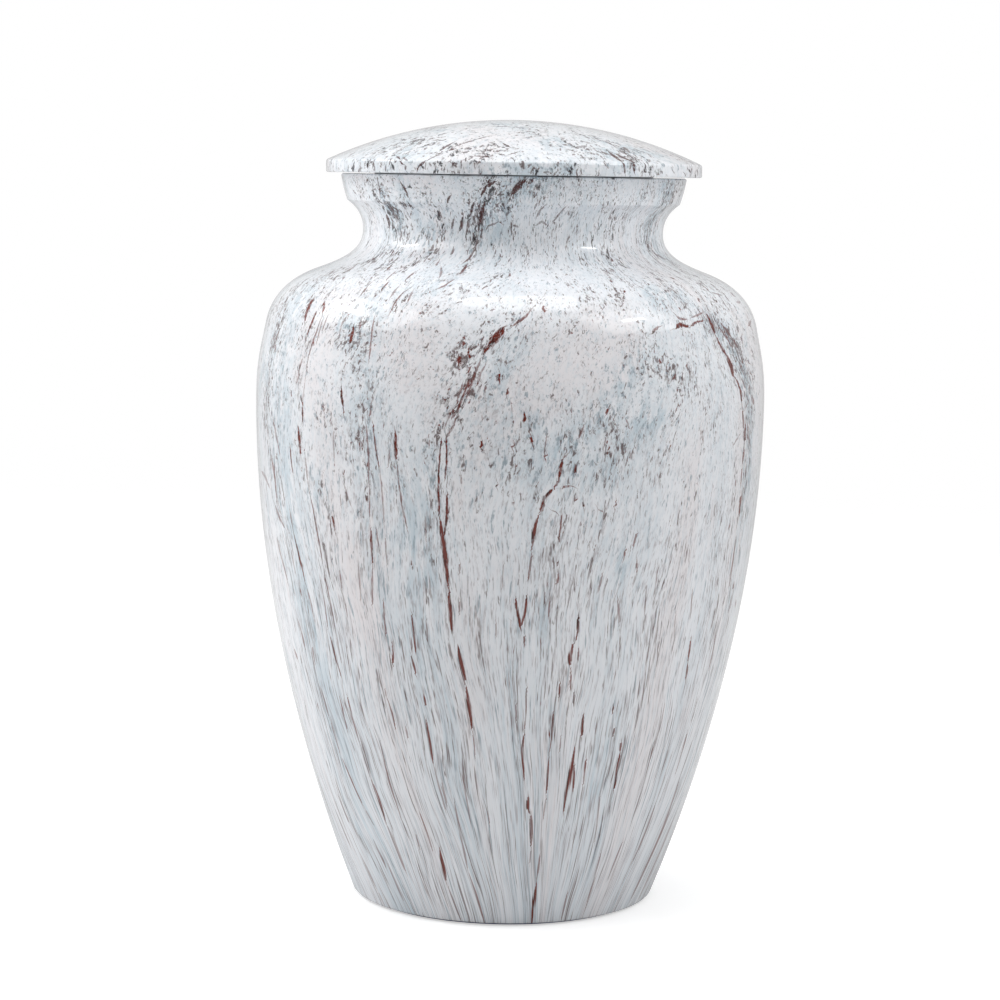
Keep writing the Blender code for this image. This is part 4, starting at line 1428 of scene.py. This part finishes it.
# %% [markdown]
# ## Where the lacquer stops
#
# The print is dipped from outside, so it ends where the outside does: under the foot, and under the
# lid's rim. Each face is given its finish by its travel along the outline, which no other number on
# the piece tells as plainly.

# %% Put the finishes on the pieces
LACQUERED, BARE = 0, 1
OVER_THE_MOUTH, UNDER_FOOT = -1.5, 257
CROWN, UNDER_LID_RIM = 0, 81


def share_out(piece, travel, lacquered_from, lacquered_to):
    """Gives a piece lacquer between two travels along its outline, and bare metal elsewhere."""
    piece.data.materials.append(marble)
    piece.data.materials.append(aluminium)
    corners = [face.vertices[0] for face in piece.data.polygons]
    at_face = travel[corners]
    bare = (at_face < lacquered_from) | (at_face > lacquered_to)
    piece.data.polygons.foreach_set("material_index", np.where(bare, BARE, LACQUERED).astype(np.int32))
    print(f"{piece.name}: {np.mean(bare):.0%} of the faces are bare metal")


share_out(urn_body, down, OVER_THE_MOUTH, UNDER_FOOT)
share_out(lid, lid_travel, CROWN, UNDER_LID_RIM)
base_pad.data.materials.append(felt)

# %% [markdown]
# ## Joining the pieces to the frame
#
# Each fine piece stands for the plain solid of the same shape. They all rest on one body, since
# nothing on the urn is hinged: the lid simply lifts off.

# %% Hang each piece on the one body and hide the plain solid it takes the place of
for piece, node, slot in (
    (urn_body, "urn_body", "marbled_lacquer"),
    (lid, "lid", "marbled_lacquer"),
    (base_pad, "base_pad", "felt"),
):
    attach(piece, "root")
    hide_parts(node)

# %% [markdown]
# ## The floor
#
# The urn stands on plain white paper. A disc with hard edges would show its rim, so the paper fades
# out with the distance from its middle. What the camera sees of it directly also glows a little, which
# keeps it clean white without throwing more light on the urn.

# %% Lay the floor
FLOOR_RADIUS = 1.6
FADES_FROM, FADES_TO = 0.35, 1.2
PAPER_WHITE, PAPER_GLOW = 0.7, 0.5
WHITE = (1, 1, 1, 1)

floor_shape = bmesh.new()
bmesh.ops.create_circle(floor_shape, cap_ends=True, radius=FLOOR_RADIUS, segments=96)
floor_mesh = bpy.data.meshes.new("floor")
floor_shape.to_mesh(floor_mesh)
floor_shape.free()
floor = bpy.data.objects.new("floor", floor_mesh)
bpy.context.scene.collection.objects.link(floor)

paper = Net(bpy.data.materials.new("white paper"))
place = paper.object_place()
from_middle = paper.add("ShaderNodeVectorMath", {"operation": "LENGTH"}, {0: place}, "Value")
matt = paper.add("ShaderNodeBsdfDiffuse", {}, {"Color": (PAPER_WHITE, PAPER_WHITE, PAPER_WHITE, 1)})
seen = paper.add("ShaderNodeLightPath", {}, {}, "Is Camera Ray")
glow = paper.add("ShaderNodeEmission", {}, {"Color": WHITE, "Strength": seen * PAPER_GLOW})
lit = paper.add("ShaderNodeAddShader", {}, {0: matt, 1: glow})
clear = paper.add("ShaderNodeBsdfTransparent", {}, {})
faded = from_middle.ramp(FADES_FROM, FADES_TO)
sheet = paper.add("ShaderNodeMixShader", {}, {0: faded, 1: lit, 2: clear})
floor_mesh.materials.append(paper.end_in(sheet))

# %% [markdown]
# ## The studio
#
# A glossy white thing on white shows its shape only by where it is lit and what it mirrors. The room
# is a soft grey, darker on the camera's side and a little brighter behind the urn, so the middle of
# the belly turns light grey between its bright sides. The camera itself sees the room as white.
#
# Large soft panels hang left, right and overhead, and a low one fills the left flank. Two narrow lamps
# give the short glints on the shoulder and the neck. The lid shades the neck, so two soft-edged spots
# reach in under it. The low panel and the spots aren't mirrored, since they would hide the flecks.

# %% Light the room
ROOM, DARKER_IN_FRONT, BRIGHTER_BEHIND = 0.5, 0.28, 0.08

room = Net(bpy.data.worlds.new("studio"))
_, depth, _ = room.add("ShaderNodeTexCoord", {}, {}, "Generated").parts()
brightness = ROOM - depth.ramp(-0.1, -0.9) * DARKER_IN_FRONT + depth.ramp(0.3, 0.95) * BRIGHTER_BEHIND
seen = room.add("ShaderNodeLightPath", {}, {}, "Is Camera Ray")
strength = brightness * (1 - seen) + seen
backdrop = room.add("ShaderNodeBackground", {}, {"Color": WHITE, "Strength": strength})
bpy.context.scene.world = room.end_in(backdrop, "ShaderNodeOutputWorld")

# %% Hang the panels and lamps
MIDDLE_OF_URN, NECK = 0.13, 0.228
WATTS_PER_BRIGHTNESS = 4
SPOT_DISTANCE, SPOT_CLIMB, SPOT_WIDTH, SPOT_SOFTNESS = 1.4, 6, 5, 0.06


def hang(light, round_from_front, elevation, distance, aimed_at):
    """Hangs a light facing a height on the urn's axis, by its direction and distance from there."""
    made = bpy.data.objects.new(light.name, light)
    turn, climb = math.radians(round_from_front), math.radians(elevation)
    way = Vector((math.sin(turn) * math.cos(climb), -math.cos(turn) * math.cos(climb), math.sin(climb)))
    made.location = Vector((0, 0, aimed_at)) + way * distance
    made.rotation_euler = way.to_track_quat("Z", "Y").to_euler()
    made.visible_camera = False
    bpy.context.scene.collection.objects.link(made)
    return made


def panel(name, round_from_front, elevation, distance, width, height, brightness):
    """A soft panel that faces the middle of the urn, by its size in metres and its brightness."""
    light = bpy.data.lights.new(name, "AREA")
    light.shape = "RECTANGLE"
    light.size, light.size_y = width, height
    light.energy = brightness * width * height * WATTS_PER_BRIGHTNESS
    return hang(light, round_from_front, elevation, distance, MIDDLE_OF_URN)


def neck_spot(name, round_from_front, watts):
    """A soft-edged spot on the neck, which isn't mirrored in the lacquer."""
    light = bpy.data.lights.new(name, "SPOT")
    light.spot_size, light.spot_blend = math.radians(SPOT_WIDTH), 1.0
    light.shadow_soft_size = SPOT_SOFTNESS
    light.energy = watts
    hang(light, round_from_front, SPOT_CLIMB, SPOT_DISTANCE, NECK).visible_glossy = False


panel("key_left", -82, 38, 1.4, 1.3, 0.8, 1.9)
panel("key_right", 66, 40, 1.4, 0.9, 0.8, 1.75)
panel("overhead", 15, 80, 1.4, 0.8, 0.7, 2.1)
panel("low_left", -132, 10, 1.4, 1.7, 1.1, 1.0).visible_glossy = False
panel("lamp_left", -95, 38, 1.5, 0.45, 0.09, 15)
panel("lamp_right", 68, 42, 1.5, 0.3, 0.08, 15)
neck_spot("neck_left", -58, 24)
neck_spot("neck_right", 58, 20)

# %% Choose how light becomes picture
scene = bpy.context.scene
scene.view_settings.view_transform = "Standard"
scene.view_settings.look = "None"
scene.view_settings.exposure = 0.0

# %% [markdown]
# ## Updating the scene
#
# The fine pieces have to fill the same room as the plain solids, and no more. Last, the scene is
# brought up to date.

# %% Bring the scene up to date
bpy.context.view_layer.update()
